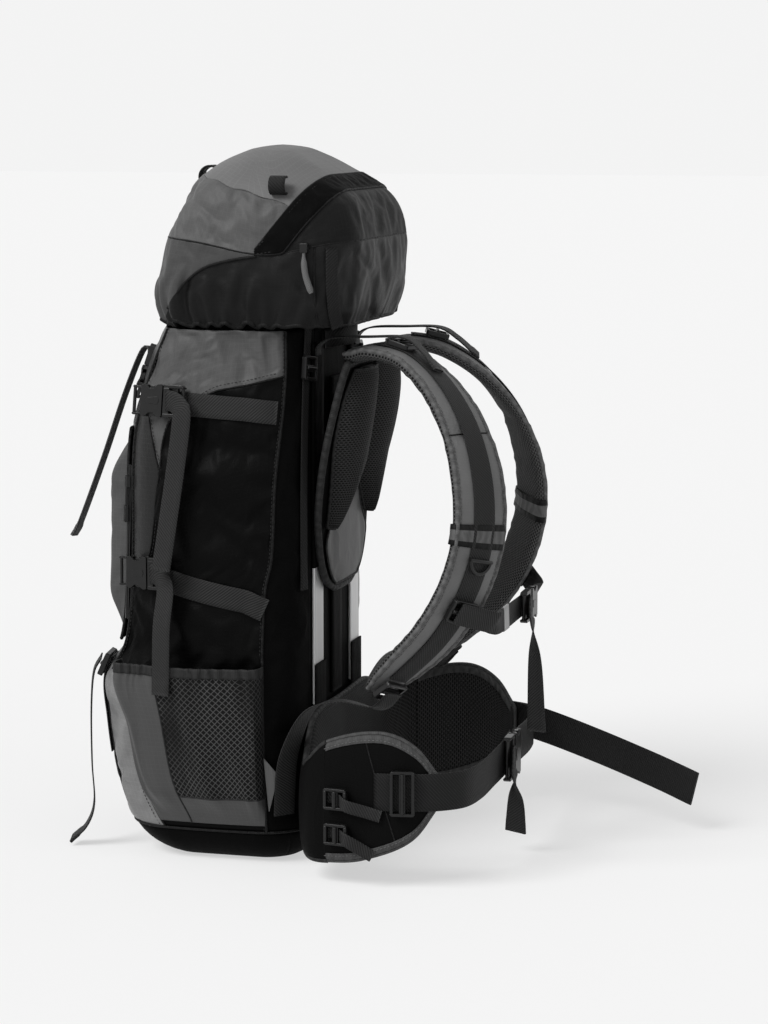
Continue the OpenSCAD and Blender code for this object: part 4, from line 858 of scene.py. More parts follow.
def stitches(name, line, body, material=THREAD):
    """Row of sewn stitches along a line: short bars with tapered ends, as one mesh."""
    line = even(np.asarray(line, float), STITCH_PITCH)
    t = unit(np.gradient(line, axis=0))
    side = unit(np.cross(t, ODD_WAY))
    up = np.cross(t, side)
    n, last = STITCH_SIDES, len(STITCH_ROWS) - 1
    a = np.radians(np.arange(0, 360, 360 // n))
    ring = STITCH_R * (np.cos(a)[None, :, None] * side[:, None] + np.sin(a)[None, :, None] * up[:, None])
    points = np.stack([line[:, None] + ring * size + t[:, None] * STITCH_LONG * along
                       for size, along in STITCH_ROWS], 1)
    bar_faces = [[n * row + k, n * row + (k + 1) % n, n * (row + 1) + (k + 1) % n, n * (row + 1) + k]
                 for row in range(last) for k in range(n)]
    bar_faces += [list(range(n))[::-1], list(range(last * n, last * n + n))]
    starts = range(0, len(line) * n * (last + 1), n * (last + 1))
    add_object(name, points, [[start + i for i in face] for start in starts for face in bar_faces], material, body)


def strap_line(c0, c1, z0, z1, n=40):
    """Line of a strap round the bag and its width direction."""
    c = np.linspace(c0, c1, n)
    z = np.linspace(z0, z1, n)
    return bag_point(z, c, STRAP_LIFT), unit(bag_point(z + 2, c, STRAP_LIFT) - bag_point(z - 2, c, STRAP_LIFT))


# Bag

def strap_hold(points):
    """Where the side straps press a panel flat."""
    z, y = points[..., 2], points[..., 1]
    hold = np.zeros(points.shape[:2])
    for low, high in zip(COMP_REAR_Z, COMP_Z):
        line = np.interp(-y, (-90, 60), (low, high))
        hold = np.maximum(hold, np.abs(z - line) < 12)
    return hold


def side_grid(low, high, start, end, rows, cols):
    """Grid on the right side: heights between low and high, which may follow u, and columns between start and
    end."""
    u, v = np.meshgrid(np.linspace(0, 1, cols), np.linspace(0, 1, rows))
    low, high = (edge(u) if callable(edge) else edge for edge in (low, high))
    z = mix(low, high, v)
    return bag_point(z, mix(start(z), end(z), u))


def bag_grid(start, end, low, high, cols, rows):
    """Grid on the bag between two columns and two heights."""
    c, z = np.meshgrid(np.linspace(start, end, cols), np.linspace(low, high, rows))
    return bag_point(z, c)


def curved(table):
    """Seam that follows a table."""
    return lambda z: smooth(z, table)


def upright(column):
    """Seam that stays in one column."""
    return lambda z: column + 0 * np.asarray(z, float)


rear_seam, pocket_seam, net_seam, diagonal = map(curved, (REAR_SEAM, POCKET_SEAM, NET_SEAM, DIAGONAL))
front_seam, corner_seam, back_corner = map(upright, (FRONT_SEAM, CORNER_C, BACK_C))


def gusset_seam(z):
    inside = (np.asarray(z) > GUSSET_SEAM[0][0]) & (np.asarray(z) < GUSSET_SEAM[-1][0])
    return np.where(inside, smooth(z, GUSSET_SEAM), FRONT_SEAM)


def folded(grid, name, free=1.0):
    """Grid with the folds that the tables give for that panel, scattered ones only where it is free."""
    return rumpled(puckered(grid, *PUCKERS[name]), *FOLDS[name], free)


def bag_panels():
    upper = folded(side_grid(diagonal, BAG_H, rear_seam, gusset_seam, 28, 44), "side_upper")
    lower = folded(side_grid(POCKET_SPLIT, diagonal, rear_seam, gusset_seam, 54, 44), "side_lower")
    behind = side_grid(BASE_SEAM, POCKET_SPLIT, rear_seam, pocket_seam, 20, 24)
    gusset = side_grid(GUSSET_SEAM[0][0], GUSSET_SEAM[-1][0], gusset_seam, front_seam, 38, 9)
    corner = puckered(side_grid(BASE_SEAM, FRONT_SPLIT, pocket_seam, corner_seam, 32, 18), *PUCKERS["corner"])
    strip = side_grid(BASE_SEAM, BAG_H, back_corner, rear_seam, 70, 14)
    pieces = (
        ("side_upper", upper, GREY, strap_hold(upper), LOOSE["side"]),
        ("side_lower", lower, BLACK, strap_hold(lower), LOOSE["side"]),
        ("side_behind_pocket", behind, BLACK, None, {}),
        ("side_gusset", gusset, DARK, None, LOOSE["gusset"]),
        ("bottom_corner", corner, GREY_SHEEN, None, LOOSE["corner"]),
        ("rear_strip", strip, BLACK_CLOTH, None, LOOSE["rear_strip"]),
    )
    for side, s in SIDES:
        first, *_ = [panel(f"{name}_{side}", mirrored(points, s), material, "bag", s > 0, hold, **loose)
                     for name, points, material, hold, loose in pieces]
        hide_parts(f"side_panel_{side}")
    back = panel("back_sheet", bag_grid(40, 44, BASE_SEAM, BAG_H, 14, 40), BLACK_CLOTH, "bag", True)
    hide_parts("back_panel")
    low = bag_grid(CORNER_C, FRONT_SUM - CORNER_C, BASE_SEAM, FRONT_SPLIT, 40, 28)
    panel("front_low", low, BLACK, "bag", True, **LOOSE["front_low"])
    high = bag_grid(FRONT_SEAM, FRONT_SUM - FRONT_SEAM, FRONT_SPLIT, BAG_H, 44, 54)
    front = panel("front_high", high, DARK, "bag", True, **LOOSE["front_high"])
    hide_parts("front_panel")
    bag_bottom()
    collar()


def bag_bottom():
    levels = np.concatenate([BASE_ROUND * (1 - np.cos(np.radians(np.linspace(0, 90, 9)))), [BASE_SEAM]])
    c = np.linspace(0, ROUND, 145)
    rings = [bag_point(np.full_like(c, z), c, 0.6) for z in levels]
    middle = np.array([0, -8, 0.6])
    floor = [mix(middle, rings[0], k) for k in (0.02, 0.35, 0.7)]
    points = np.array(floor + rings)
    obj = add_object("bottom", points, grid_faces(*points.shape[:2], flip=True), BLACK_CLOTH, "bag",
                     grid_uvs(points))
    thicken(obj, 1.6)
    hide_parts("bottom_panel")


def collar_ring(z, o, c):
    k = COLLAR_LEAN * (z - BAG_H) / COLLAR_H / (BAG_BACK - float(front_y(BAG_H)))
    p = bag_point(np.full_like(c, BAG_H), c, o)
    return np.stack([p[:, 0], p[:, 1] + k * (BAG_BACK - p[:, 1]), np.full_like(c, z)], -1)


def collar():
    """Thin collar that the drawcord gathers, with the cord in its hem."""
    c = np.linspace(0, ROUND, 241)
    ripple = np.sin(c * 7.1) + 0.6 * np.sin(c * 11.3 + 1) + 0.5 * np.sin(c * 4.3 + 2)
    points = np.array([collar_ring(BAG_H - 1 + COLLAR_H * k, -7 + 0.9 * ripple * step_up(k * 1.2) * 0.8, c)
                       for k in np.linspace(0, 1, 16)])
    points[:, -1] = points[:, 0]
    obj = add_object("collar_cloth", points, grid_faces(*points.shape[:2], flip=True), BLACK_CLOTH, "bag",
                     grid_uvs(points))
    thicken(obj, PANEL_T)
    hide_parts("collar")
    hem = collar_ring(BAG_H + COLLAR_H - 15, -3.5, c[:-1])
    cord = tube("collar_cord", hem, 2, CORD_GREY, "bag", closed=True)
    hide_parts("collar_drawcord")


def seam_lines():
    """Piping and sewn edges over the joins of the bag's panels."""
    z = np.linspace(BASE_SEAM, BAG_H - 1, 120)
    high = np.linspace(POCKET_SPLIT, BAG_H - 1, 90)
    leaf = np.linspace(GUSSET_SEAM[0][0] + 1, GUSSET_SEAM[-1][0] - 1, 60)
    u = np.linspace(0, 1, 60)
    slant = diagonal(u)
    slant_c = mix(rear_seam(slant), gusset_seam(slant), u)
    low = np.linspace(BASE_SEAM, FRONT_SPLIT, 60)
    around = np.linspace(0, ROUND, 200)
    piping = {
        "rear_piping": (bag_point(z, rear_seam(z), 0.6), 1.7),
        "front_piping": (bag_point(high, front_seam(high), 0.5), 1.6),
        "gusset_seam": (bag_point(leaf, gusset_seam(leaf), 0.1), 1.0),
        "diagonal_seam": (bag_point(slant, slant_c, 0.1), 1.0),
        "corner_seam": (bag_point(low, pocket_seam(low), 0.3), 1.1),
        "front_corner_seam": (bag_point(low, corner_seam(low), 0.3), 1.2),
    }
    sewn = {
        "rear_stitches": bag_point(z, rear_seam(z) + 0.22, 1.0),
        "diagonal_stitches": bag_point(slant + 5, slant_c, 1.0),
        "front_stitches": bag_point(high, front_seam(high) - 0.45, 1.2),
        "gusset_stitches": bag_point(leaf, gusset_seam(leaf) - 0.3, 1.0),
        "corner_stitches": bag_point(low, pocket_seam(low) + 0.45, 1.2),
    }
    for side, s in SIDES:
        for name, (line, r) in piping.items():
            tube(f"{name}_{side}", mirrored(line, s), r, TAPE_DARK, "bag", sides=8)
        for name, line in sewn.items():
            stitches(f"{name}_{side}", mirrored(line, s), "bag")
    base = bag_point(np.full(200, BASE_SEAM), around, 0.7)[:-1]
    tube("bottom_seam", base, 1.5, TAPE_DARK, "bag", closed=True)


# Pockets

def pocket_lift(u, v, depth, open_top):
    rise = np.minimum(1, 3 * crown(u)) ** 0.8 * step_up(4 * v)
    return depth * (rise if open_top else rise * step_up(4 * (1 - v)))


def front_pocket():
    c0, c1 = CORNER_C, FRONT_SUM - CORNER_C
    u, v = np.meshgrid(np.linspace(0, 1, 44), np.linspace(0, 1, 44))
    lift = 2.2 + pocket_lift(u, v, POCKET_DEPTH, False)
    points = bag_point(mix(POCKET_LOW, POCKET_HIGH, v), mix(c0, c1, u), lift)
    obj = panel("front_pocket_cloth", points, GREY, "bag", True, **LOOSE["front_pocket"])
    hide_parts("front_pocket")
    edge = np.linspace(POCKET_LOW, POCKET_HIGH, 60)
    for side, s in SIDES:
        line = mirrored(bag_point(edge, corner_seam(edge), 2.6), s)
        tube(f"pocket_piping_{side}", line, 2.0, TAPE_DARK, "bag", sides=8)
    across = np.linspace(c0, c1, 60)
    for name, z in (("low", POCKET_LOW), ("high", POCKET_HIGH)):
        tube(f"pocket_piping_{name}", bag_point(z + 0 * across, across, 2.6), 2.0, TAPE_DARK, "bag", sides=8)


def side_pockets():
    """Mesh side pockets: net, a cloth front and foot, and a gathered elastic hem."""
    rng = np.random.default_rng(4)
    folds = [(rng.uniform(0.1, 0.95), rng.uniform(-0.35, 0.05), rng.uniform(0.03, 0.06), rng.uniform(1.5, 3.5))
             for _ in range(9)]
    foot_v = 0.19
    net_u = 0.62

    def at(u, v):
        z = mix(MESH_LOW, MESH_HIGH, v)
        c = np.where(u < net_u, mix(rear_seam(z), net_seam(z), u / net_u),
                     mix(net_seam(z), pocket_seam(z), (u - net_u) / (1 - net_u)))
        sag = sum(a * np.exp(-(((u - p - lean * (1 - v)) / w) ** 2)) for p, lean, w, a in folds)
        gather = 1.6 * np.sin(u * 95 + 2 * np.sin(u * 17)) * step_up((v - 0.72) / 0.28)
        lift = pocket_lift(u, v, MESH_DEPTH, True)
        return bag_point(z, c, 1.6 + lift + (sag + gather) * lift / MESH_DEPTH * (1 - 0.3 * v))

    def piece(u0, u1, v0, v1, rows, cols):
        u, v = np.meshgrid(np.linspace(u0, u1, cols), np.linspace(v0, v1, rows))
        return at(u, v)

    for side, s in SIDES:
        flip = s > 0
        net = panel(f"pocket_net_{side}", mirrored(piece(0, net_u, foot_v, 1, 50, 64), s), NET, "bag", flip)
        panel(f"pocket_foot_{side}", mirrored(piece(0, net_u, 0, foot_v, 14, 64), s), POCKET_GREY, "bag", flip)
        panel(f"pocket_front_{side}", mirrored(piece(net_u, 1, 0, 1, 50, 30), s), POCKET_GREY, "bag", flip)
        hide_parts(f"mesh_pocket_{side}")
        hem = mirrored(piece(0, 1, 1, 1, 1, 160)[0], s)
        ribbon(f"pocket_hem_{side}", hem + [0, 0, 1], (0, 0, 1), 11, TAPE_MID, "bag", 2.6, step=2)
        seam_v = mirrored(piece(net_u, net_u, 0, 1, 60, 1)[:, 0], s)
        tube(f"pocket_net_seam_{side}", seam_v, 0.9, TAPE_MID, "bag", sides=8)
        seam_u = mirrored(piece(0, net_u, foot_v, foot_v, 1, 80)[0], s)
        tube(f"pocket_foot_seam_{side}", seam_u, 0.9, TAPE_MID, "bag", sides=8)


# Straps on the bag

def side_straps():
    for side, s in SIDES:
        first = None
        for k, level in enumerate(("upper", "lower")):
            lines = strap_line(STRAP_REAR_C[k], COMP_C[k] - 0.2, COMP_REAR_Z[k], COMP_Z[k])
            rear = ribbon(f"side_strap_{level}_{side}", *on_side(s, *lines), WEB_W, WEB, "bag")
            first = first or rear
            lines = strap_line(COMP_FRONT_C + 0.2, COMP_C[k] + 0.3, COMP_Z[k], COMP_Z[k], 16)
            ribbon(f"side_tab_{level}_{side}", *on_side(s, *lines), WEB_W, WEB, "bag")
            side_tail(level, k, side, s)
        if s > 0:
            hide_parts("side_webbing")


def side_tail(level, k, side, s):
    drop, swing, stand = SIDE_TAILS[k]
    place = raised(bag_frame(COMP_Z[k], COMP_C[k], "round"), BUCKLE_OFF)
    points = np.array([(-5, 0, 0), (-13, 0, 0), (-22, 5, 2), (-27, 17, 3),
                       (-26 - swing * 0.3, drop * 0.45, 1 + stand * 0.7),
                       (-26 - swing, drop, stand)], float) + [0, 0, MALE_TOP]
    turns = [(0, 1, 0), (0, 1, 0), (0.6, 1, 0), (1, 0.3, 0), (1, 0, 0), (1, 0, 0)]
    line = route(in_frame(place, points), 60)
    across = route(turn_in_frame(place, turns), 60)
    body = f"side_male_{level}_{side}"
    obj = ribbon(f"side_tail_{level}_{side}", *on_side(s, line, across), WEB_W - 3, WEB, body, hem=16)
    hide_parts(body)
    male(f"{body}_buckle", place, WEB_W, body, s)
    female(f"side_female_{level}_{side}", place, WEB_W, "bag", s)


def slab(outline, low, high):
    """Plate with an outline in the x-y plane."""
    outline = np.asarray(outline, float)
    n = len(outline)
    points = np.concatenate([np.column_stack([outline, np.full(n, z)]) for z in (low, high)])
    walls = [[i, (i + 1) % n, n + (i + 1) % n, n + i] for i in range(n)]
    return points, [list(range(n))[::-1], list(range(n, 2 * n)), *walls]


def block(x0, x1, half, low, high):
    """Plate across a strap."""
    return slab([(x0, -half), (x1, -half), (x1, half), (x0, half)], low, high)


def both_sides(outline, low, high):
    outline = np.asarray(outline, float)
    return [slab(outline, low, high), slab(outline[::-1] * [1, -1], low, high)]


def bar(x, half, z, r):
    """Round bar across a strap."""
    sides = 14
    a = np.linspace(0, 2 * np.pi, sides, endpoint=False)
    ring = np.column_stack([x + r * np.cos(a), 0 * a, z + r * np.sin(a)])
    points = np.concatenate([ring + [0, -half, 0], ring + [0, half, 0]])
    walls = [[i, sides + i, sides + (i + 1) % sides, (i + 1) % sides] for i in range(sides)]
    return points, [list(range(sides)), list(range(sides, 2 * sides))[::-1], *walls]


def moulding(name, parts, place, body, s):
    """One moulded piece from several solids, set in a place on the pack."""
    points, faces, count = [], [], 0
    for part_points, part_faces in parts:
        points.append(mirrored(in_frame(place, part_points), s))
        faces += [[count + i for i in face] for face in part_faces]
        count += len(part_points)
    points = np.concatenate(points)
    if s * np.linalg.det(np.array(place[1:])) < 0:
        faces = [face[::-1] for face in faces]
    obj = add_object(name, points, faces, PLASTIC, body)
    obj.data.polygons.foreach_set("use_smooth", [False] * len(obj.data.polygons))
    finish_plastic(obj, MOULD_ROUND)
    return obj


def female(name, place, w, body, s=1):
    """Female half of a side-release buckle: two plates with thumb windows, a rear block and a strap bar."""
    y, (a, b) = w / 2 + RAIL, FEMALE_WINDOW
    half = [(0, y - 1.5), (1.5, y), (a - 3, y), (a, y - 2.2), (a + 2.5, y - 4.4), (b - 2.5, y - 4.4),
            (b, y - 2.2), (b + 3, y), (FEMALE_BODY - 3, y - 0.6), (FEMALE_BODY, y - 3)]
    outline = half + [(px, -py) for px, py in half[::-1]]
    rail = [(FEMALE_BODY - 1, w / 2 + 1), (FEMALE_LONG, w / 2 + 1), (FEMALE_LONG, y - 2.4),
            (FEMALE_LONG - 1.5, y - 1.6), (FEMALE_BODY - 1, y - 3)]
    post = [(0.2, w / 2 + 1.6), (4, w / 2 + 2.6), (4, y - 0.4), (0.2, y - 1.6)]
    mark = [(5, -w / 6), (17, -w / 6 + 1), (19, 0), (17, w / 6 - 1), (5, w / 6), (3.5, 0)]
    parts = [slab(outline, 0, SHELL + 0.2), slab(outline, BUCKLE_T - SHELL - 0.2, BUCKLE_T),
             block(b + 1, FEMALE_BODY, y - 1, SHELL, BUCKLE_T - SHELL), slab(mark, BUCKLE_T, BUCKLE_T + 0.5),
             bar(FEMALE_LONG - 1.8, w / 2 + 2, BUCKLE_T / 2, 1.9),
             *both_sides(rail, SHELL + 0.5, BUCKLE_T - SHELL - 0.5), *both_sides(post, SHELL, BUCKLE_T - SHELL)]
    return moulding(name, parts, place, body, s)


def male(name, place, w, body, s=1):
    """Male half: a strap frame with two bars, a guide and two sprung arms."""
    y, top = w / 2 + RAIL, BUCKLE_T - 1
    rail = [(-MALE_LONG, w / 2 + 1), (-0.5, w / 2 + 1), (-0.5, y - 0.6), (-3, y), (-MALE_LONG + 3, y - 0.4),
            (-MALE_LONG, y - 2.6)]
    arm = [(-0.5, w / 2 - 3.2), (4, w / 2 - 1.8), (8, w / 2 + 1.8), (11, w / 2 + 3.6), (14, w / 2 + 3.6),
           (TONGUE, w / 2 + 1.6), (TONGUE, w / 2 - 1), (11, w / 2 + 0.2), (6, w / 2 - 3.4), (-0.5, w / 2 - 6)]
    parts = [*both_sides(rail, 0, top), *both_sides(arm, SHELL + 0.5, BUCKLE_T - SHELL - 0.5),
             block(-8, -0.5, w / 2 + 1.5, 0, top), block(-17.2, -12.8, w / 2 + 1.5, 0.6, top - 2.6),
             bar(-MALE_LONG + 2, w / 2 + 1.5, top / 2, 1.9), block(-0.6, TONGUE - 2, 2, 3, BUCKLE_T - 3)]
    return moulding(name, parts, place, body, s)


def ladder(name, place, w, body, s):
    """Ladder buckle: two rails, two flat end bars and a round middle bar."""
    y, x, top = w / 2 + RAIL - 1, LADDER_LONG / 2, BUCKLE_T - 3
    rail = [(-x, w / 2 + 0.8), (x, w / 2 + 0.8), (x, y - 1.5), (x - 2, y), (2 - x, y), (-x, y - 1.5)]
    wide, flat = w / 2 + 1.2, 3.4
    parts = [*both_sides(rail, 0, top), block(-x, flat - x, wide, 0.6, top), block(x - flat, x, wide, 0.6, top),
             block(-flat, flat, wide, 0.8, top - 1), bar(0, wide, LADDER_T - BAR_R, BAR_R)]
    return moulding(name, parts, place, body, s)


def finish_plastic(obj, width):
    """Moulded edges: joined facets with small rounds."""
    weld = obj.modifiers.new("joined", "WELD")
    weld.merge_threshold = 1e-5
    bevel = obj.modifiers.new("rounds", "BEVEL")
    bevel.width = width * MM
    bevel.segments = 2
    bevel.limit_method = "ANGLE"
    bevel.angle_limit = math.radians(35)


def front_straps():
    """Bottom straps with tails, tabs of the lid buckles and the lash ladder."""
    lift = 2 * SEAM + WEB_T / 2 + 0.8
    for side, s in SIDES:
        z = np.linspace(110, BOTTOM_Z + 12, 30)
        line = bag_point(z, BOTTOM_C + 0 * z, lift)
        across = unit(bag_point(z, BOTTOM_C + 0.1 + 0 * z) - bag_point(z, BOTTOM_C - 0.1 + 0 * z))
        ribbon(f"bottom_strap_{side}", *on_side(s, line, across), WEB_W, WEB, "bag")
        place = bag_frame(BOTTOM_Z, BOTTOM_C, "down")
        buckle = ladder(f"bottom_ladder_{side}", raised(place, BUCKLE_OFF + SEAM), WEB_W, "bag", s)
        over = BUCKLE_OFF + LADDER_T + 2 * SEAM + WEB_T + 1
        start = in_frame(place, [(-3, 0, over)])[0]
        x, y, top = start
        points = [start, in_frame(place, [(18, 0, over + 1)])[0], (x, y - 13, top - 60), (x, y - 13, 95),
                  (x, y - 11, 50), (x, y - 20, 24), (x, y - 38, 6)]
        line = route(points, 60)
        tail = ribbon(f"bottom_tail_{side}", *on_side(s, line, (1, 0.4, 0)), WEB_W - 5, WEB_DARK, "bag", hem=14)
        c = lid_strap_column()
        z = np.linspace(POCKET_HIGH + 3, LID_STRAP_Z - 2, 20)
        line = bag_point(z, c + 0 * z, 2.0)
        ribbon(f"lid_tab_{side}", mirrored(line, s), (1, 0, 0), WEB_W, WEB, "bag")
        if s > 0:
            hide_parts("front_webbing")
            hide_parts("bottom_adjusters")
    lash_ladder()


def lash_ladder():
    """Webbing down the front pocket, sewn into loops."""
    low, high, loops = POCKET_LOW + 60, POCKET_HIGH - 60, 5
    z = np.linspace(low, high, 80)
    bow = 4.5 * np.abs(np.sin(np.pi * loops * (z - low) / (high - low)))
    line = bag_point(z, 18 + 0 * z, 2.6 + POCKET_DEPTH + 2 + bow)
    ribbon("lash_ladder", line, (1, 0, 0), 20, WEB, "bag")


def lid_strap_column():
    flat = float(half_w(LID_STRAP_Z)) - BAG_CORNER
    return 16 + 4 * (flat - LID_STRAP_X) / (2 * flat)


# Lid

LID_ROWS = np.concatenate([np.linspace(LID_SPLIT, LID_TOP - 24, 16), LID_TOP - np.array([17, 11, 6, 2.5])])
LID_MIDDLE, LID_REAR_Y = np.array([0, 60, 690]), 122


def lid_columns(o=0.0):
    """Every column of the lid as points from its skirt seam to its crown."""
    rings = [lid_ring(z, o) for z in LID_ROWS]
    middle = rings[-1].mean(0)
    middle[2] = LID_TOP + 1.5
    cap = [mix(rings[-1], middle, k) + [0, 0, 1.6 * (1 - (1 - k) ** 2) - 1.5 * k * k]
           for k in (0.3, 0.6, 0.85, 1.0)]
    return np.array(rings + cap)


def above_zip(points):
    """Distance above the plane that the lid's zip lies in."""
    y, z = points[..., 1] - LID_FOOT_Y, points[..., 2] - LID_SPLIT
    return z * math.cos(LID_TILT) - y * math.sin(LID_TILT)


def lid_seam_z(y):
    """Height of the seam between the lid's top and its front wall."""
    return mix(747, 716, (y + 40) / 110) + 1.2 * np.sin(y / 5.5)


def cut(height):
    """Place in a list of rising heights where they pass 0."""
    if height[0] >= 0:
        return 0.0
    i = int(np.argmax(height > 0))
    return i - 1 + height[i - 1] / (height[i - 1] - height[i])


def zip_cut(columns, level=0.0):
    """Place along each column, in rows, where it comes above the zip plane by level."""
    return np.array([cut(height - level) for height in above_zip(columns).T])


def resample(columns, start, end, rows):
    """Grid along each column between its start and end places."""
    index = np.arange(columns.shape[0])
    return np.stack([at_lengths(np.linspace(start[j], end[j], rows), index, columns[:, j])
                     for j in range(columns.shape[1])], 1)


def lid():
    columns = lid_columns()
    count = columns.shape[1]
    last = columns.shape[0] - 1.0
    zip_at = zip_cut(columns)
    seam_at = np.maximum(zip_at, [cut(column) for column in (columns[..., 2] - lid_seam_z(columns[..., 1])).T])
    cap = resample(columns, seam_at, np.full(count, last), 24)
    cloth = panel("lid_top_cloth", cap, GREY_TOP_LIT, "lid", False, flap_hold(cap), **LOOSE["lid_top"])
    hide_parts("lid_top")
    wall = np.flatnonzero(seam_at > zip_at + 0.02)
    front = resample(columns[:, wall], zip_at[wall], seam_at[wall], 18)
    front = folded(front, "lid_front", flap_free(front))
    panel("lid_front_cloth", front, GREY_WALL_SHADED, "lid", False, flap_hold(front), **LOOSE["lid_front"])
    tube("lid_top_seam", front[-1] + unit(front[-1] - LID_MIDDLE) * 0.3, 0.9, TAPE_MID, "lid", sides=8)
    cols = round_rear(np.flatnonzero(zip_at > 0.05), count)
    rear = resample(columns[:, cols], np.zeros(len(cols)), zip_at[cols], 22)
    rear = folded(rear, "lid_rear", flap_free(rear))
    obj = panel("lid_rear_cloth", rear, SKIRT, "lid", False, flap_hold(rear), **LOOSE["lid_rear"])
    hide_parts("lid_rear")
    band(count)
    skirt()
    lid_seams()
    lid_loops()
    floor_z = LID_SPLIT - 8.0
    edge, inner = lid_ring(floor_z, -4), lid_ring(floor_z, -60)
    sheet = np.array([edge, inner, mix(inner, np.array([0, 40, floor_z]), 0.98)])
    floor = panel("lid_floor_cloth", sheet, BLACK_CLOTH, "lid")
    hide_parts("lid_floor")


def round_rear(cols, count):
    """Columns of the lid's ring in order from its left side by the rear to its right side."""
    return np.concatenate([cols[cols > count // 2], cols[(cols > 0) & (cols <= count // 2)]])


def flap_hold(points):
    """Where the zip flap holds the lid's cloth down."""
    return np.abs(above_zip(points)) < LID_BAND_W / 2 + 5


def flap_free(points):
    """0 under the zip flap, rising to 1 away from it."""
    return step_up((np.abs(above_zip(points)) - LID_BAND_W / 2 - 2) / 12)


def band(count):
    """Flap over the curved zip."""
    columns = lid_columns(2.2)
    low, high = (zip_cut(columns, level) for level in (-LID_BAND_W / 2, LID_BAND_W / 2))
    cols = round_rear(np.flatnonzero(high > 0.02), count)
    strip = resample(columns[:, cols], low[cols], high[cols], 9)
    obj = panel("lid_flap", strip, BLACK_CLOTH, "lid", False, **LOOSE["flap"])
    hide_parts("lid_band")
    for edge, row, sewn in (("high", -1, 7), ("low", 0, 1)):
        tube(f"lid_flap_edge_{edge}", strip[row], 1.3, TAPE_DARK, "lid", sides=8)
        stitches(f"lid_flap_stitches_{edge}", strip[sewn] + unit(strip[sewn] - LID_MIDDLE), "lid")


def skirt():
    """Skirt of the lid, drawn in by the elastic in its hem."""
    rng = np.random.default_rng(11)
    ring = lid_ring(LID_LOW)
    start = len(ring) // 2 + int(np.argmin(np.abs(ring[len(ring) // 2:, 1] - LID_REAR_Y)))
    order = np.append(np.roll(np.arange(len(ring) - 1), -start), start)
    lengths = run_lengths(ring[order])
    waves = list(zip((1.4, 1.0, 1.2, 1.1), (19, 14.3, 27, 41), rng.uniform(0, 6.28, 4), (2, -3, 3, -2)))
    points = []
    for k in np.linspace(0, 1, 22):
        z = mix(LID_LOW, LID_SPLIT, k)
        pull = (1 - step_up(k / 0.95)) ** 1.1
        gather = sum(a * np.sin(lengths / w * 2 * np.pi + p + slant * k) for a, w, p, slant in waves)
        base, out = lid_ring(z)[order], lid_ring(z, 1.0)[order]
        gather *= np.interp(base[:, 1], (60, 130), (1, 0.12))
        points.append(base + (out - base) * (gather * pull * 2)[:, None]
                      + [0, 0, 1.3] * (gather * pull**3)[:, None])
    points = np.array(points)
    calm = np.interp(points[..., 1], (90, 130), (1, 0.4))
    points = folded(points, "skirt", calm)
    sewn = near(points, [slant_line(s) for _, s in SIDES], 5)
    obj = panel("lid_skirt_cloth", points, SKIRT_SHEEN, "lid", False, sewn, **LOOSE["skirt"])
    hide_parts("lid_skirt")
    tube("lid_hem", points[0][:-1] + [0, 0, 1], 2.6, TAPE_DARK, "lid", closed=True)


def lid_place(z, y, s, o):
    """Point on the side of the lid at height z and place y."""
    ring = lid_ring(z, o)
    half = ring[: len(ring) // 2 + 1]
    x = np.interp(-y, -half[:, 1], half[:, 0])
    return np.array([s * x, y, z + float(lid_dip(y, z))])


def slant_line(s):
    """Line of the slanted seam on one side of the skirt."""
    return route([lid_place(z, y, s, 1.2) for y, z in LID_SLANT], 50)


def near(points, lines, reach):
    """1 at each point of a grid that is within reach of a line."""
    flat = points.reshape(-1, 1, 3)
    away = np.min([np.linalg.norm(flat - line[None], axis=-1).min(1) for line in lines], axis=0)
    return (away < reach).reshape(points.shape[:2]).astype(float)


def lid_seams():
    tube("lid_split_seam", lid_ring(LID_SPLIT, 0.4)[:-1], 1.2, TAPE_DARK, "lid", closed=True)
    for side, s in SIDES:
        tube(f"lid_slant_piping_{side}", slant_line(s), 1.5, TAPE_DARK, "lid", sides=8)
        rear = [lid_place(z, LID_REAR_Y, s, 0.8) for z in np.linspace(LID_LOW + 2, LID_SPLIT, 20)]
        tube(f"lid_rear_piping_{side}", np.array(rear), 1.3, TAPE_DARK, "lid", sides=8)


def lid_loops():
    """Flat webbing loops on the lid's shoulders."""
    z = LID_LOW + LID_H * 0.77
    a = np.radians(np.linspace(-20, 200, 40))
    places = {"right": ((float(lid_side(z)) + 4, LID_BACK / 2, z + 5), (0, 1, 0), (1, 0, 0)),
              "left": ((-float(lid_side(z)) - 4, LID_BACK / 2, z + 5), (0, 1, 0), (-1, 0, 0)),
              "front": ((0, float(lid_front_y(z)) - 3, z + 10), (1, 0, 0), (0, -1, 0))}
    for name, (middle, across, out) in places.items():
        r = 12.0 if name == "front" else 9.0
        line = np.array(middle) + r * (np.cos(a)[:, None] * np.array([0, 0, -1])
                                       + np.sin(a)[:, None] * np.array(out))
        obj = ribbon(f"lid_loop_{name}", line, across, 18, WEB_DARK, "lid", 2.4, step=2)
        if name == "right":
            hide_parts("lid_loops")


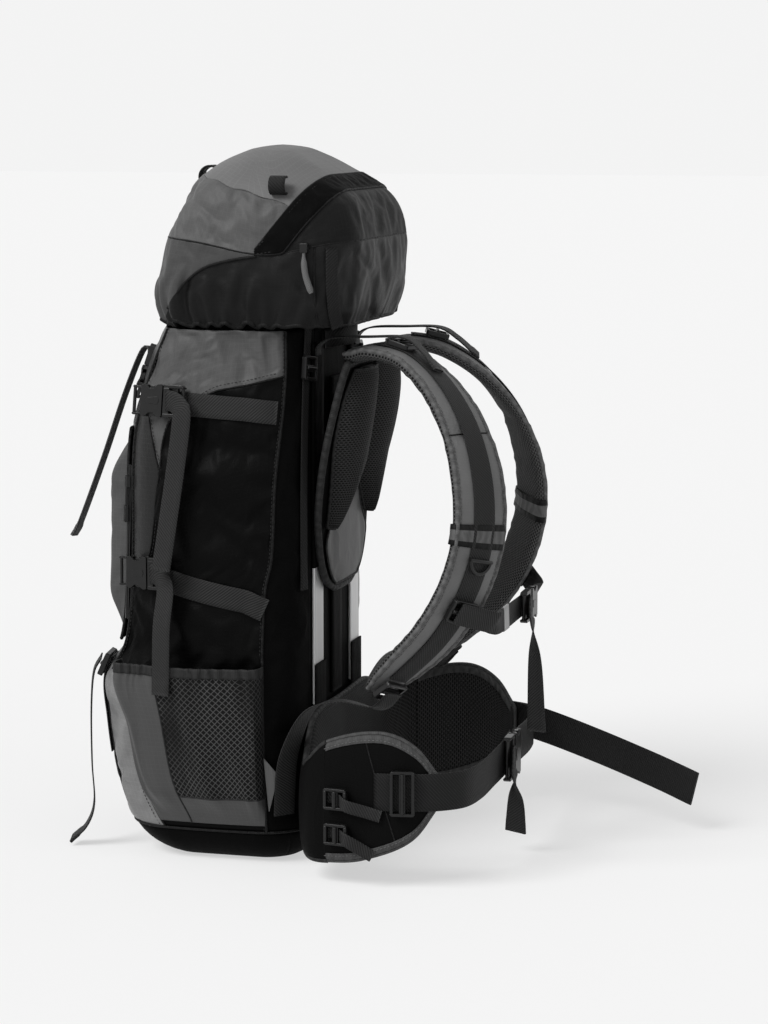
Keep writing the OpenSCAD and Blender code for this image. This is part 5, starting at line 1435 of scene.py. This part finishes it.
def lid_straps():
    c = lid_strap_column()
    z = np.linspace(LID_SPLIT - 2, LID_LOW, 20)
    x = bag_point(BAG_H, c)[0]
    upper = np.stack([np.full_like(z, x), lid_front_y(z) - SEAM - WEB_T / 2 - 2.2, z], -1)
    lower = np.array([bag_point(LID_STRAP_Z + up, c, SEAM + WEB_T / 2) for up in (42, 30, 16, 4)])
    for side, s in SIDES:
        line = mirrored(np.concatenate([upper, lower]), s)
        obj = ribbon(f"lid_strap_{side}", line, (1, 0, 0), WEB_W, WEB_PALE, "lid")
        if s > 0:
            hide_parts("lid_straps")
        seat = raised(bag_frame(LID_STRAP_Z, c, "down"), BUCKLE_OFF)
        place = raised(seat, MALE_TOP)
        points = [(-4, 0, 0), (-13, 0, 0), (-20, 0, 4), (-10, 0, 10), (40, 0, 13), (110, -2, 14), (186, -4, 17),
                  (205, -4, 20)]
        line = route(in_frame(place, points), 90)
        tail = ribbon(f"lid_tail_{side}", *on_side(s, line, place[2]), WEB_W - 5, WEB_PALE, f"lid_male_{side}",
                      hem=14)
        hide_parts(f"lid_male_{side}")
        male(f"lid_male_{side}_buckle", seat, WEB_W, f"lid_male_{side}", s)
        half = female(f"lid_female_{side}", seat, WEB_W, "bag", s)
        if s > 0:
            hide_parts("strap_females")


def rear_lid_straps():
    """Straps that hold the lid's rear to the bag: webbing on the skirt, a ladder buckle and a narrow end."""
    c, low, high = 45.6, 300, LID_LOW - 20
    z = np.linspace(high + 16, low, 60)
    line = bag_point(np.minimum(z, BAG_H - 1), c + 0 * z, 1.4)
    line[:, 2] = z
    across = unit(bag_point(400, c + 0.1) - bag_point(400, c - 0.1))
    for side, s in SIDES:
        ribbon(f"rear_lid_strap_{side}", *on_side(s, line, across), 12, WEB_DARK, "bag", 1.4, hem=10)
        place = raised(bag_frame(high - 26, c, "down"), 2.4)
        ladder(f"rear_lid_ladder_{side}", place, 14, "bag", s)
        skirt_z = np.linspace(LID_LOW - 1, LID_SPLIT - 3, 16)
        line_up = np.array([lid_place(k, 140, s, 5.5) for k in skirt_z])
        ribbon(f"lid_rear_web_{side}", line_up, (0.7 * s, -0.7, 0), 14, WEB_DARK, "lid", 1.6)


def zip_pull():
    """Cord pull on the lid's zip."""
    low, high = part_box("lid_zip_pull")
    x, y = (low.x + high.x) / 2 / MM, (low.y + high.y) / 2 / MM
    top, foot = high.z / MM - 2, low.z / MM
    points = [(x, y, top), (x + 1, y, top - 12), (x + 1.5, y + 2, top - 28), (x + 1, y + 8, foot + 3)]
    line = route(points, 30)
    radius = np.interp(np.linspace(0, 1, 31), (0, 0.25, 0.4, 0.95, 1), (1.5, 1.7, 3.2, 3.4, 2.2))
    obj = tube("lid_pull", line, radius, CORD_GREY, "zip_pull_body", sides=12)
    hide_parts("lid_zip_pull")


# Harness

def yoke():
    """Foam board of the yoke with a taped edge."""
    z = np.concatenate([np.linspace(YOKE_LOW, YOKE_LOW + 20, 10), np.linspace(YOKE_LOW + 26, YOKE_TOP, 50)])
    u = np.linspace(-1, 1, 41)
    half, face, rear = yoke_half(z)[:, None], yoke_face(z)[:, None], yoke_y(z)[:, None]
    puff = 1.2 * np.sqrt(np.maximum(0, 1 - u**2))[None]
    front = np.stack([u[None] * half, face - 1.2 + puff, z[:, None] + 0 * u[None]], -1)
    back = np.stack([u[None] * half, rear + 0 * u[None], z[:, None] + 0 * u[None]], -1)
    shell = np.concatenate([front, back[:, ::-1], front[:, :1]], 1)
    faces = shell_faces(*shell.shape[:2])
    obj = add_object("yoke_cloth", shell, faces, BLACK_CLOTH, "harness", grid_uvs(shell), closed=True)
    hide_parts("yoke")
    tube("yoke_binding", rim(front) - [0, 2.5, 0], 4.2, TAPE_MID, "harness", closed=True, sides=12)


def back_pads():
    """Crowned mesh pads on the yoke."""
    high, edge_t = YOKE_TOP - 6, 3
    leaf = [(0, 0.12), (0.1, 0.5), (0.45, 0.92), (0.8, 1), (1, 0.86)]
    z = np.linspace(LOBE_LOW, high, 44)[:, None]
    u = np.linspace(0, 1, 26)[None]
    share = (z - LOBE_LOW) / (high - LOBE_LOW)
    inner = mix(POINT_HALF + 10, 6, np.minimum(1, (z - LOBE_LOW) / POINT_H))
    wide = (yoke_half(z) - 6 - inner) * smooth(share, leaf)
    swell = np.maximum(0, crown(mix(0.04, 0.96, share))) ** 0.45
    rise = edge_t + (LOBE_T - edge_t) * crown(u) ** 0.6 * swell
    x, y = inner + wide * u, yoke_face(z) + SEAM + rise
    front = np.stack([x, y, z + 0 * u], -1)
    foot = np.stack([x, yoke_face(z) + SEAM + 0 * u, z + 0 * u], -1)
    for side, s in SIDES:
        shell = mirrored(np.concatenate([front, foot[:, ::-1], front[:, :1]], 1), s)
        faces = shell_faces(*shell.shape[:2], s < 0)
        obj = add_object(f"back_pad_{side}", shell, faces, BACK_MESH, "harness", grid_uvs(shell), closed=True)
        if s > 0:
            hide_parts("back_pads")
        edge = rim(front, s) - [0, 1, 0]
        tube(f"back_pad_binding_{side}", edge, 1.6, TAPE_MID, "harness", closed=True, sides=8)


def yoke_panel():
    """Plain cloth panel at the foot of the yoke, with a point between the pads."""
    z = np.linspace(YOKE_LOW + 6, LOBE_LOW + POINT_H, 40)
    half = np.minimum(yoke_half(z) - 8, mix(POINT_HALF, 4, (z - LOBE_LOW) / POINT_H))
    half = np.convolve(np.pad(half, 1, "edge"), np.ones(3) / 3, "valid")
    u = np.linspace(-1, 1, 24)
    y = (yoke_face(z) + SEAM + WEB_T)[:, None] + 0.8 * (1 - u**2)[None]
    points = np.stack([u[None] * half[:, None], y, z[:, None] + 0 * u[None]], -1)
    obj = panel("yoke_panel_cloth", points, PANEL_GREY, "harness", True, **LOOSE["yoke_panel"])
    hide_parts("yoke_panel")
    tube("yoke_panel_edge", rim(points), 1.2, TAPE_MID, "harness", closed=True, sides=8)


def power(v, p):
    return np.sign(v) * np.abs(v) ** p


PAD_FOLD, PAD_TAPES = 36, (3, 21)


def shoulder_pads():
    """Shoulder pads: grey outer cloth, mesh lining and a gathered binding round the edge."""
    i = np.arange(SHOULDER_N + 1)
    k = smooth(i / SHOULDER_N, SHOULDER_ENDS)[:, None]
    a = np.linspace(0, 2 * np.pi, 49)[None]
    w, t = SHOULDER_W / 2 * k, SHOULDER_T / 2 * mix(0.6, 1, k)
    rng = np.random.default_rng(7)
    phase = rng.uniform(0, 6.28, 3)
    ripple = np.sin(i * 1.9 + phase[0]) + 0.7 * np.sin(i * 2.7 + phase[1]) + 0.5 * np.sin(i * 1.1 + phase[2])
    near_edge = np.exp(-((np.abs(np.cos(a)) - 0.86) / 0.12) ** 2)
    fold = 2.6 * np.exp(-(((i - PAD_FOLD) / 1.1) ** 2))[:, None]
    t = t + 0.9 * ripple[:, None] * near_edge - fold
    ring = (SHOULDER_LINE[:, None] + PAD_X[:, None] * (power(np.cos(a), 0.75) * w)[..., None]
            + PAD_N[:, None] * (power(np.sin(a), 0.8) * t)[..., None])
    cols = ring.shape[1]
    columns = np.tile(np.arange(cols - 1), SHOULDER_N)
    lining = (columns < PAD_TAPES[0]) | (columns >= PAD_TAPES[1])
    for side, s in SIDES:
        faces = shell_faces(SHOULDER_N + 1, cols, s > 0)
        kinds = np.where(lining, 1, 0).tolist() + [0, 0]
        obj = add_object(f"shoulder_pad_{side}", mirrored(ring, s), faces, None, "harness",
                         grid_uvs(ring)[..., ::-1], [PAD_GREY, LINING], kinds, closed=True)
        if s > 0:
            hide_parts("shoulder_pads")
        for edge, column in zip(("outer", "inner"), PAD_TAPES):
            tube(f"shoulder_binding_{edge}_{side}", mirrored(ring[:, column], s), 2.6, TAPE_PAD, "harness")
        shoulder_trim(side, s, ring)


def shoulder_trim(side, s, ring):
    up = SHOULDER_T / 2 + SEAM + WEB_T / 2
    i = np.arange(9, 85)
    line = SHOULDER_LINE[i] + PAD_N[i] * up
    web = ribbon(f"shoulder_web_{side}", *on_side(s, line, PAD_X[i]), WEB_W + 3, WEB, "harness")
    band_rows = ring[51:56]
    centre = SHOULDER_LINE[51:56][:, None]
    wrap = band_rows + unit(band_rows - centre) * 3.0
    kinds = np.repeat((1, 0, 0, 1), wrap.shape[1] - 1).tolist()
    obj = add_object(f"shoulder_band_{side}", mirrored(wrap, s), grid_faces(*wrap.shape[:2], s > 0), None,
                     "harness", grid_uvs(wrap), [TAPE_PAD, TAPE_DARK], kinds)
    thicken(obj, PANEL_T)
    over = ring[PAD_FOLD, :25]
    tube(f"shoulder_fold_{side}", mirrored(over, s), 0.9, TAPE_DARK, "harness", sides=8)
    for edge, column in (("outer", 5), ("inner", 19)):
        row = ring[6:86, column] + PAD_N[6:86] * 0.5
        stitches(f"shoulder_stitches_{edge}_{side}", mirrored(row, s), "harness", THREAD_PALE)
    if s > 0:
        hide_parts("shoulder_webbing")
        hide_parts("shoulder_bands")


OVER_WEB = SHOULDER_T / 2 + SEAM + WEB_T + PLAY
OVER_LADDER = OVER_WEB + LADDER_T + PLAY + WEB_T / 2


def pad_place(i):
    """Place for a ladder buckle on the shoulder webbing."""
    j = pad_index(i)
    return over_pad(i, OVER_WEB), PAD_T[j], np.cross(PAD_N[j], PAD_T[j]), PAD_N[j]


def harness_straps():
    for side, s in SIDES:
        x, y = STAY_GAP / 2 + 6, STAY_FACE + 2 * PLAY + WEB_T / 2
        end = over_pad(LIFTER_I, OVER_LADDER + 3 * SEAM)
        crest = np.array([x, y + 16, YOKE_TOP + 27])
        points = [(x, y, YOKE_TOP + 8), (x, y + 1, YOKE_TOP + 18), crest, mix(crest, end, 0.5) + [0, 0, 1], end,
                  over_pad(6.3, OVER_LADDER - 2), over_pad(8, OVER_WEB + 2)]
        line = mirrored(route(points, 60), s)
        obj = ribbon(f"load_lifter_{side}", line, (1, 0, 0), WEB_W - 5, WEB, "harness", hem=12)
        lifter = ladder(f"lifter_ladder_{side}", pad_place(LIFTER_I), WEB_W - 5, "harness", s)
        ladder(f"anchor_ladder_{side}", pad_place(ANCHOR_I), WEB_W, "harness", s)
        ladder(f"sternum_ladder_{side}", pad_place(CHEST_I), WEB_W + 3, "harness", s)
        top = over_pad(ANCHOR_I, OVER_LADDER)
        t, w = PAD_T[pad_index(ANCHOR_I)], PAD_X[pad_index(ANCHOR_I)]
        foot = bag_point(56, 0.6, SEAM + WEB_T / 2 + 1)
        points = [top - t * 4, top + t * 22, (HINGE_X - 45, BAG_BACK + 47, LUMBAR_TOP + 32),
                  (HINGE_X - 39, BAG_BACK + 15, LUMBAR_TOP + 20), (HINGE_X - 42, BAG_BACK - 8, LUMBAR_TOP - 28),
                  foot + [3, 2, 26], foot]
        turns = [w, w, (1, 0, 0.1), (1, -0.3, 0), (0.75, -0.6, 0), (0.7, -0.7, 0), (0.7, -0.7, 0)]
        lines = on_side(s, route(points, 80), route(turns, 80))
        anchor = ribbon(f"anchor_strap_{side}", *lines, WEB_W, WEB, None)
        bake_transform(anchor)
        if s > 0:
            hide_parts("load_lifters")
            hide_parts("shoulder_adjusters")
            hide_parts("anchor_straps")


def sternum():
    across, along = PAD_X[pad_index(CHEST_I)], PAD_T[pad_index(CHEST_I)]
    chest = over_pad(CHEST_I, OVER_LADDER)
    edge = chest - across * (SHOULDER_W / 2 + 8)
    y, z, x = edge[1] + 3, edge[2] - 4, -28
    start = [chest + across * 10, chest, mix(chest, edge, 0.6), edge, (edge[0] - 9, y - 0.6, z + 1),
             (edge[0] - 30, y, z)]
    turns = [-along] * 5 + [(0, 0, 1)]
    long = route(start + [(0, y, z), (x + 1, y, z)], 80)
    long_turn = route(turns + [(0, 0, 1), (0, 0, 1)], 80)
    short = route(start + [(-x + 1, y, z)], 60)
    short_turn = route(turns + [(0, 0, 1)], 60)
    obj = ribbon("sternum_strap_right", long, long_turn, WEB_W, WEB, "harness")
    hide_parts("sternum_strap")
    shown = (long[:, 0] < 74) & (long[:, 0] > 46)
    ribbon("sternum_tag", long[shown], long_turn[shown], WEB_W + 1.5, TAG, "harness", WEB_T + 1.6)
    ribbon("sternum_strap_left", *on_side(-1, short, short_turn), WEB_W, WEB, "harness")
    place = front_place(x, y + WEB_T / 2 + PLAY + SEAM, z)
    end = [(-24, -16, 5), (-24, -60, 8), (-18, -138, 9)]
    hanging_tail("sternum", place, end, WEB_W - 3, WEB_W, "sternum_male")
    half = female("sternum_female", place, WEB_W, "harness")
    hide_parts("sternum_fittings")


TAIL_START = [(-4, 0, 0), (-13, 0, 0), (-20, -4, 2)]
TAIL_TURN = [(0, 1, 0), (0, 1, 0), (-0.6, 1, 0), (-1, 0.3, 0), (-0.6, 0, 0.8), (-0.25, 0, 1)]


def front_place(x, y, z):
    """Place for a buckle in front of the wearer."""
    return np.array([x, y, z]), np.array([-1.0, 0, 0]), np.array([0, 0, 1.0]), np.array([0, 1.0, 0])


def hanging_tail(name, place, end, width, buckle_w, node):
    """Tail that turns from its buckle to hang down."""
    points = np.array(TAIL_START + end, float)
    line = route(in_frame(place, points + [0, 0, MALE_TOP]), 60)
    obj = ribbon(f"{name}_tail", line, route(turn_in_frame(place, TAIL_TURN), 60), width, WEB, node, hem=14)
    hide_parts(node)
    male(f"{name}_male", place, buckle_w, node)


def upright_line(x, y, low, high, n):
    z = np.linspace(low, high, n)
    return np.stack([np.full_like(z, x), np.full_like(z, y), z], -1)


def back_trim():
    """Spine strip, sleeves of the stays and the grab handle."""
    low, high = LUMBAR_TOP + 14, YOKE_TOP - 20
    line = upright_line(0, STAY_FACE - 1.6, low, high, 40)
    spine = ribbon("spine_cloth", line, (1, 0, 0), SPINE_W, BLACK_CLOTH, "bag", 3)
    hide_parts("spine_strip")
    for side, s in SIDES:
        line = upright_line(s * STAY_GAP / 2, STAY_FACE + 1.2, low - 4, low + 44, 14)
        sleeve = ribbon(f"stay_sleeve_{side}", line, (1, 0, 0), 40, BLACK_CLOTH, "bag", 2)
        if s > 0:
            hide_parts("stay_pockets")
        line = upright_line(s * STAY_GAP / 2, STAY_FACE - 1.4, YOKE_LOW + 30, YOKE_TOP + 22, 30)
        ribbon(f"stay_channel_{side}", line, (1, 0, 0), 38, BLACK_CLOTH, "bag", 4.2)
    x, y, z = 50, BAG_BACK + 2 * SEAM + WEB_T + 0.3, BAG_H - 14
    points = [(-x, y, z), (-x + 14, y, z), (-x / 2, y + 15, z + 2), (0, y + 20, z + 3), (x / 2, y + 15, z + 2),
              (x - 14, y, z), (x, y, z)]
    haul = ribbon("grab_handle", route(points, 60), (0, 0, 1), WEB_W - 5, WEB_DARK, "bag", 3.2)
    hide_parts("haul_loop")


# Hip belt

# Trimming straps on a wing: places along it and heights. The second place has the ladder buckle.
TRIM_TAILS = (((5.0, 98), (5.4, 96), (5.7, 91), (6.1, 85), (6.45, 80)),
              ((5.0, 60), (5.4, 58), (5.7, 54), (6.0, 44), (6.25, 36)))


def belt_shell(start, end, rows):
    """Closed skin of the belt between two places: outer face, then inner face."""
    s = np.linspace(start, end, rows)[:, None]
    v = np.linspace(0, 1, 22)[None]
    side = np.where(s < 0, -1.0, 1.0)
    at = np.abs(s) + 0 * v
    half = belt_half(at, v + 0 * s)
    outer, inner = belt_point(at, v + 0 * s, half), belt_point(at, v + 0 * s, -half)
    outer[..., 0] *= side
    inner[..., 0] *= side
    return np.concatenate([outer, inner[:, ::-1], outer[:, :1]], 1)


def belt_piece(name, shell, body, node, s):
    """Padded piece of the belt, with cloth outside and mesh inside."""
    rows, cols = shell.shape[:2]
    columns = np.tile(np.arange(cols - 1), rows - 1)
    kinds = np.where(columns >= (cols - 1) // 2, 1, 0).tolist() + [0, 0]
    obj = add_object(name, shell, shell_faces(rows, cols, s < 0), None, body, grid_uvs(shell),
                     [WING_CLOTH, BACK_MESH], kinds, closed=True)
    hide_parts(node)


def hip_belt():
    belt_piece("lumbar_cloth", belt_shell(-4.995, 4.995, 120), "bag", "lumbar_pad", 1)
    s = np.linspace(-4.99, 4.99, 120)
    for name, v in (("top", 1.0), ("low", 0.0)):
        line = belt_point(np.abs(s), np.full_like(s, v), np.zeros_like(s))
        line[:, 0] *= np.sign(s)
        tube(f"lumbar_binding_{name}", line, 3.2, TAPE_MID, "bag")
    for side, sign in SIDES:
        shell = mirrored(belt_shell(4.97, 8, 60), sign)
        belt_piece(f"wing_cloth_{side}", shell, f"wing_{side}", f"wing_{side}", sign)
        along = np.linspace(4.99, 8, 60)
        up = np.linspace(0, 1, 12)
        wing_tape("top", True, side, sign)
        wing_tape("low", False, side, sign)
        seam = on_wing(np.linspace(6.1, 6.75, 24), np.linspace(158, 54, 24), 0.1)
        tube(f"wing_seam_{side}", mirrored(seam, sign), 0.9, TAPE_DARK, f"wing_{side}", sides=8)
        edge = np.concatenate([belt_point(along, 0 * along, 0 * along),
                               belt_point(np.full(12, 8.0), up, 0 * up),
                               belt_point(along[::-1], 1 + 0 * along, 0 * along)])
        tube(f"wing_binding_{side}", mirrored(even(edge, RIM_STEP), sign), 2.6, TAPE, f"wing_{side}")
        belt_webbing(side, sign)


def wing_tape(edge, high, side, sign):
    """Flat tape folded over the top or the lower edge of a wing, with its stitches."""
    s = np.linspace(5.0, 7.9, 70)[:, None]
    tall = smooth(s, BELT_TOP) - smooth(s, BELT_BOTTOM)
    inset = np.array([9, 6, 3, 0.6, 0.6, 3, 6, 9])[None]
    face = np.array([1, 1, 1, 0.6, -0.6, -1, -1, -1])[None]
    v = inset / tall
    v = 1 - v if high else v
    points = belt_point(s + 0 * v, v, (belt_half(s + 0 * v, v) + 0.9) * face)
    flip = (sign > 0) == high
    obj = add_object(f"wing_tape_{edge}_{side}", mirrored(points, sign), grid_faces(*points.shape[:2], flip), TAPE,
                     f"wing_{side}", grid_uvs(points)[..., ::-1])
    soften(thicken(obj, 1.0, 0.0))
    row = belt_point(s[:, 0], v[:, 1], belt_half(s[:, 0], v[:, 1]) + 1.6)
    stitches(f"wing_tape_stitches_{edge}_{side}", mirrored(row, sign), f"wing_{side}", THREAD_PALE)


def corner_tabs():
    """Cloth triangles that hold the lower ends of the anchor straps."""
    corners = np.array([(122, 2.45), (102, 1.1), (60, 2.1)])
    u, v = np.meshgrid(np.linspace(0, 1, 8), np.linspace(0, 1, 20))
    upper = corners[0] + (corners[1] - corners[0]) * u[..., None]
    place = upper + (corners[2] - upper) * v[..., None] * 0.97
    points = bag_point(place[..., 0], place[..., 1], 4.4)
    for side, s in SIDES:
        panel(f"anchor_tab_{side}", mirrored(points, s), PAD_GREY, "bag", s < 0)


def wing_place(s, z):
    """Place for a ladder buckle on the belt webbing of the right wing."""
    out = unit(belt_out(np.array(float(s))))
    along = unit(on_wing(s + 0.05, z, 0) - on_wing(s - 0.05, z, 0))
    along = unit(along - out * along.dot(out))
    return on_wing(s, z, SEAM + WEB_T + PLAY), along, np.cross(out, along), out


def belt_webbing(side, s):
    o = SEAM + WEB_T / 2
    body = f"wing_{side}"
    points = [on_wing(k, BELT_Z, o) for k in (6.3, 6.65, 7, 7.35)]
    points += [(HINGE_X - 3, HINGE_Y + 122, BELT_Z), (HINGE_X - 26, HINGE_Y + 143, BELT_Z),
               (HINGE_X - 70, BELT_Y, BELT_Z), (HINGE_X - 130, BELT_Y, BELT_Z), (1, BELT_Y, BELT_Z)]
    obj = ribbon(f"belt_web_{side}", mirrored(route(points, 90), s), (0, 0, 1), BELT_WEB_W, WEB_DARK, body)
    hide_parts(f"belt_webbing_{side}")
    lock = ladder(f"belt_ladder_{side}", wing_place(6.95, BELT_Z), BELT_WEB_W, body, s)
    for k, places in enumerate(TRIM_TAILS):
        ladder(f"trim_ladder_{k}_{side}", wing_place(*places[1]), 15, body, s)
    if s > 0:
        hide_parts("wing_fittings_right")
    lifts = (o, o + 1, LADDER_T + 3, 5, 2.5)
    for k, places in enumerate(TRIM_TAILS):
        line = np.array([on_wing(at, z, lift) for (at, z), lift in zip(places, lifts)])
        ribbon(f"trim_strap_{k}_{side}", mirrored(route(line, 40), s), (0, 0, 1), 13, WEB, body, hem=10)
    if s < 0:
        out = SEAM + WEB_T + PLAY + LADDER_T + SEAM + WEB_T
        points = [on_wing(6.75, BELT_Z, out), on_wing(7.25, BELT_Z - 2, out)]
        points += [(HINGE_X + a, HINGE_Y + BELT_TAIL * b, BELT_Z - c)
                   for a, b, c in ((8, 0.42, 6), (-16, 0.63, 22), (-50, 0.853, 40), (-72, 1, 54))]
        line = route(points, 90)
        tail = ribbon("belt_tail", mirrored(line, -1), (0, 0, 1), BELT_WEB_W, WEB_DARK, body, hem=22)


def hip_buckle():
    place = front_place(0, BELT_Y + WEB_T / 2 + PLAY, BELT_Z)
    end = [(-24, -18, 4), (-22, -44, 5), (-14, -82, 3)]
    hanging_tail("belt_buckle", place, end, WEB_W, BELT_WEB_W, "belt_male")
    half = female("belt_female", place, BELT_WEB_W, "wing_left")
    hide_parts("wing_fittings_left")


# Solids that stay, with their materials

KEPT = {
    "cord_lock": PLASTIC, "frame_sheet": BOARD, "stays": METAL, "zip_tracks": ZIP, "zip_slider_right": PLASTIC,
    "zip_slider_left": PLASTIC, "lid_zip_slider": PLASTIC, "d_ring_right": PLASTIC, "d_ring_left": PLASTIC,
}


def dress_solids():
    for node, material in KEPT.items():
        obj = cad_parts[node]
        obj.data.materials.clear()
        obj.data.materials.append(material)
        finish_plastic(obj, ZIP_ROUND if node == "zip_tracks" else SOLID_ROUND)


# Stage

CAMERA_AZIMUTH, CAMERA_ELEVATION, CAMERA_DISTANCE = math.radians(105), math.radians(8), 3.2
LOOK_AT = np.array([0, 0.160, 0.371])
METRES_PER_PIXEL, IMAGE_H, SENSOR = 0.0011, 1024, 36.0
PAPER, PAPER_SEEN, PAPER_WHITE = 0.9, 0.985, 0.55
FLOOR_HALF, WORLD_LIGHT = 30, 0.34
SUNS = (("key", 2.4, 50, 45, 30), ("fill", 0.3, 140, 30, 60))  # strength, azimuth, elevation and softness


def stage():
    corners = [(x * FLOOR_HALF, y * FLOOR_HALF, 0) for x, y in ((-1, -1), (1, -1), (1, 1), (-1, 1))]
    mesh = bpy.data.meshes.new("floor")
    mesh.from_pydata(corners, [], [(0, 1, 2, 3)])
    floor = in_scene("floor", mesh)
    paper = bpy.data.materials.new("paper")
    paper.use_nodes = True
    shader = paper.node_tree.nodes["Principled BSDF"]
    shader.inputs["Base Color"].default_value = grey(PAPER)
    shader.inputs["Roughness"].default_value = 1.0
    shader.inputs["Specular IOR Level"].default_value = 0.0
    mesh.materials.append(paper)
    brighten(paper)

    world = bpy.data.worlds.new("studio")
    bpy.context.scene.world = world
    world.use_nodes = True
    nodes, links = world.node_tree.nodes, world.node_tree.links
    light = nodes["Background"]
    light.inputs["Color"].default_value = grey(1)
    light.inputs["Strength"].default_value = WORLD_LIGHT
    seen = nodes.new("ShaderNodeBackground")
    seen.inputs["Color"].default_value = grey(PAPER)
    pick = nodes.new("ShaderNodeMixShader")
    links.new(sight(nodes, links), pick.inputs[0])
    links.new(light.outputs[0], pick.inputs[1])
    links.new(seen.outputs[0], pick.inputs[2])
    links.new(pick.outputs[0], nodes["World Output"].inputs["Surface"])

    for sun in SUNS:
        add_sun(*sun)

    camera = bpy.data.cameras.new("camera")
    camera.sensor_fit = "VERTICAL"
    camera.sensor_height = SENSOR
    camera.lens = CAMERA_DISTANCE / METRES_PER_PIXEL / IMAGE_H * SENSOR
    eye = in_scene("camera", camera)
    back = direction(CAMERA_AZIMUTH, CAMERA_ELEVATION)
    eye.location = LOOK_AT + back * CAMERA_DISTANCE
    eye.rotation_euler = (math.pi / 2 - CAMERA_ELEVATION, 0, CAMERA_AZIMUTH)
    bpy.context.scene.camera = eye
    bpy.context.scene.view_settings.view_transform = "Standard"


def sight(nodes, links):
    """1 for what the camera sees, straight, mirrored or through glass."""
    rays = nodes.new("ShaderNodeLightPath")
    total = rays.outputs["Is Camera Ray"]
    for kind in ("Is Glossy Ray", "Is Transmission Ray"):
        add = nodes.new("ShaderNodeMath")
        add.operation = "MAXIMUM"
        links.new(total, add.inputs[0])
        links.new(rays.outputs[kind], add.inputs[1])
        total = add.outputs[0]
    return total


def brighten(paper):
    """Paper as a camera sees it under the studio's white: a paler shadow, and no more light on the pack."""
    nodes, links = paper.node_tree.nodes, paper.node_tree.links
    white = nodes.new("ShaderNodeEmission")
    white.inputs["Color"].default_value = grey(PAPER_SEEN)
    seen = nodes.new("ShaderNodeMath")
    seen.operation = "MULTIPLY"
    seen.inputs[1].default_value = PAPER_WHITE
    pick = nodes.new("ShaderNodeMixShader")
    links.new(sight(nodes, links), seen.inputs[0])
    links.new(seen.outputs[0], pick.inputs[0])
    links.new(nodes["Principled BSDF"].outputs[0], pick.inputs[1])
    links.new(white.outputs[0], pick.inputs[2])
    links.new(pick.outputs[0], nodes["Material Output"].inputs["Surface"])


def direction(azimuth, elevation):
    level = math.cos(elevation)
    return np.array([math.sin(azimuth) * level, -math.cos(azimuth) * level, math.sin(elevation)])


def add_sun(name, strength, azimuth, elevation, angle):
    """Soft lamp without falloff, seen from the object at that azimuth and elevation in degrees."""
    lamp = bpy.data.lights.new(name, "SUN")
    lamp.energy = strength
    lamp.angle = math.radians(angle)
    in_scene(name, lamp).rotation_euler = (math.pi / 2 - math.radians(elevation), 0, math.radians(azimuth))


stage()
bag_panels()
seam_lines()
front_pocket()
side_pockets()
side_straps()
front_straps()
lid()
lid_straps()
rear_lid_straps()
zip_pull()
yoke()
back_pads()
yoke_panel()
shoulder_pads()
harness_straps()
sternum()
back_trim()
corner_tabs()
hip_belt()
hip_buckle()
dress_solids()
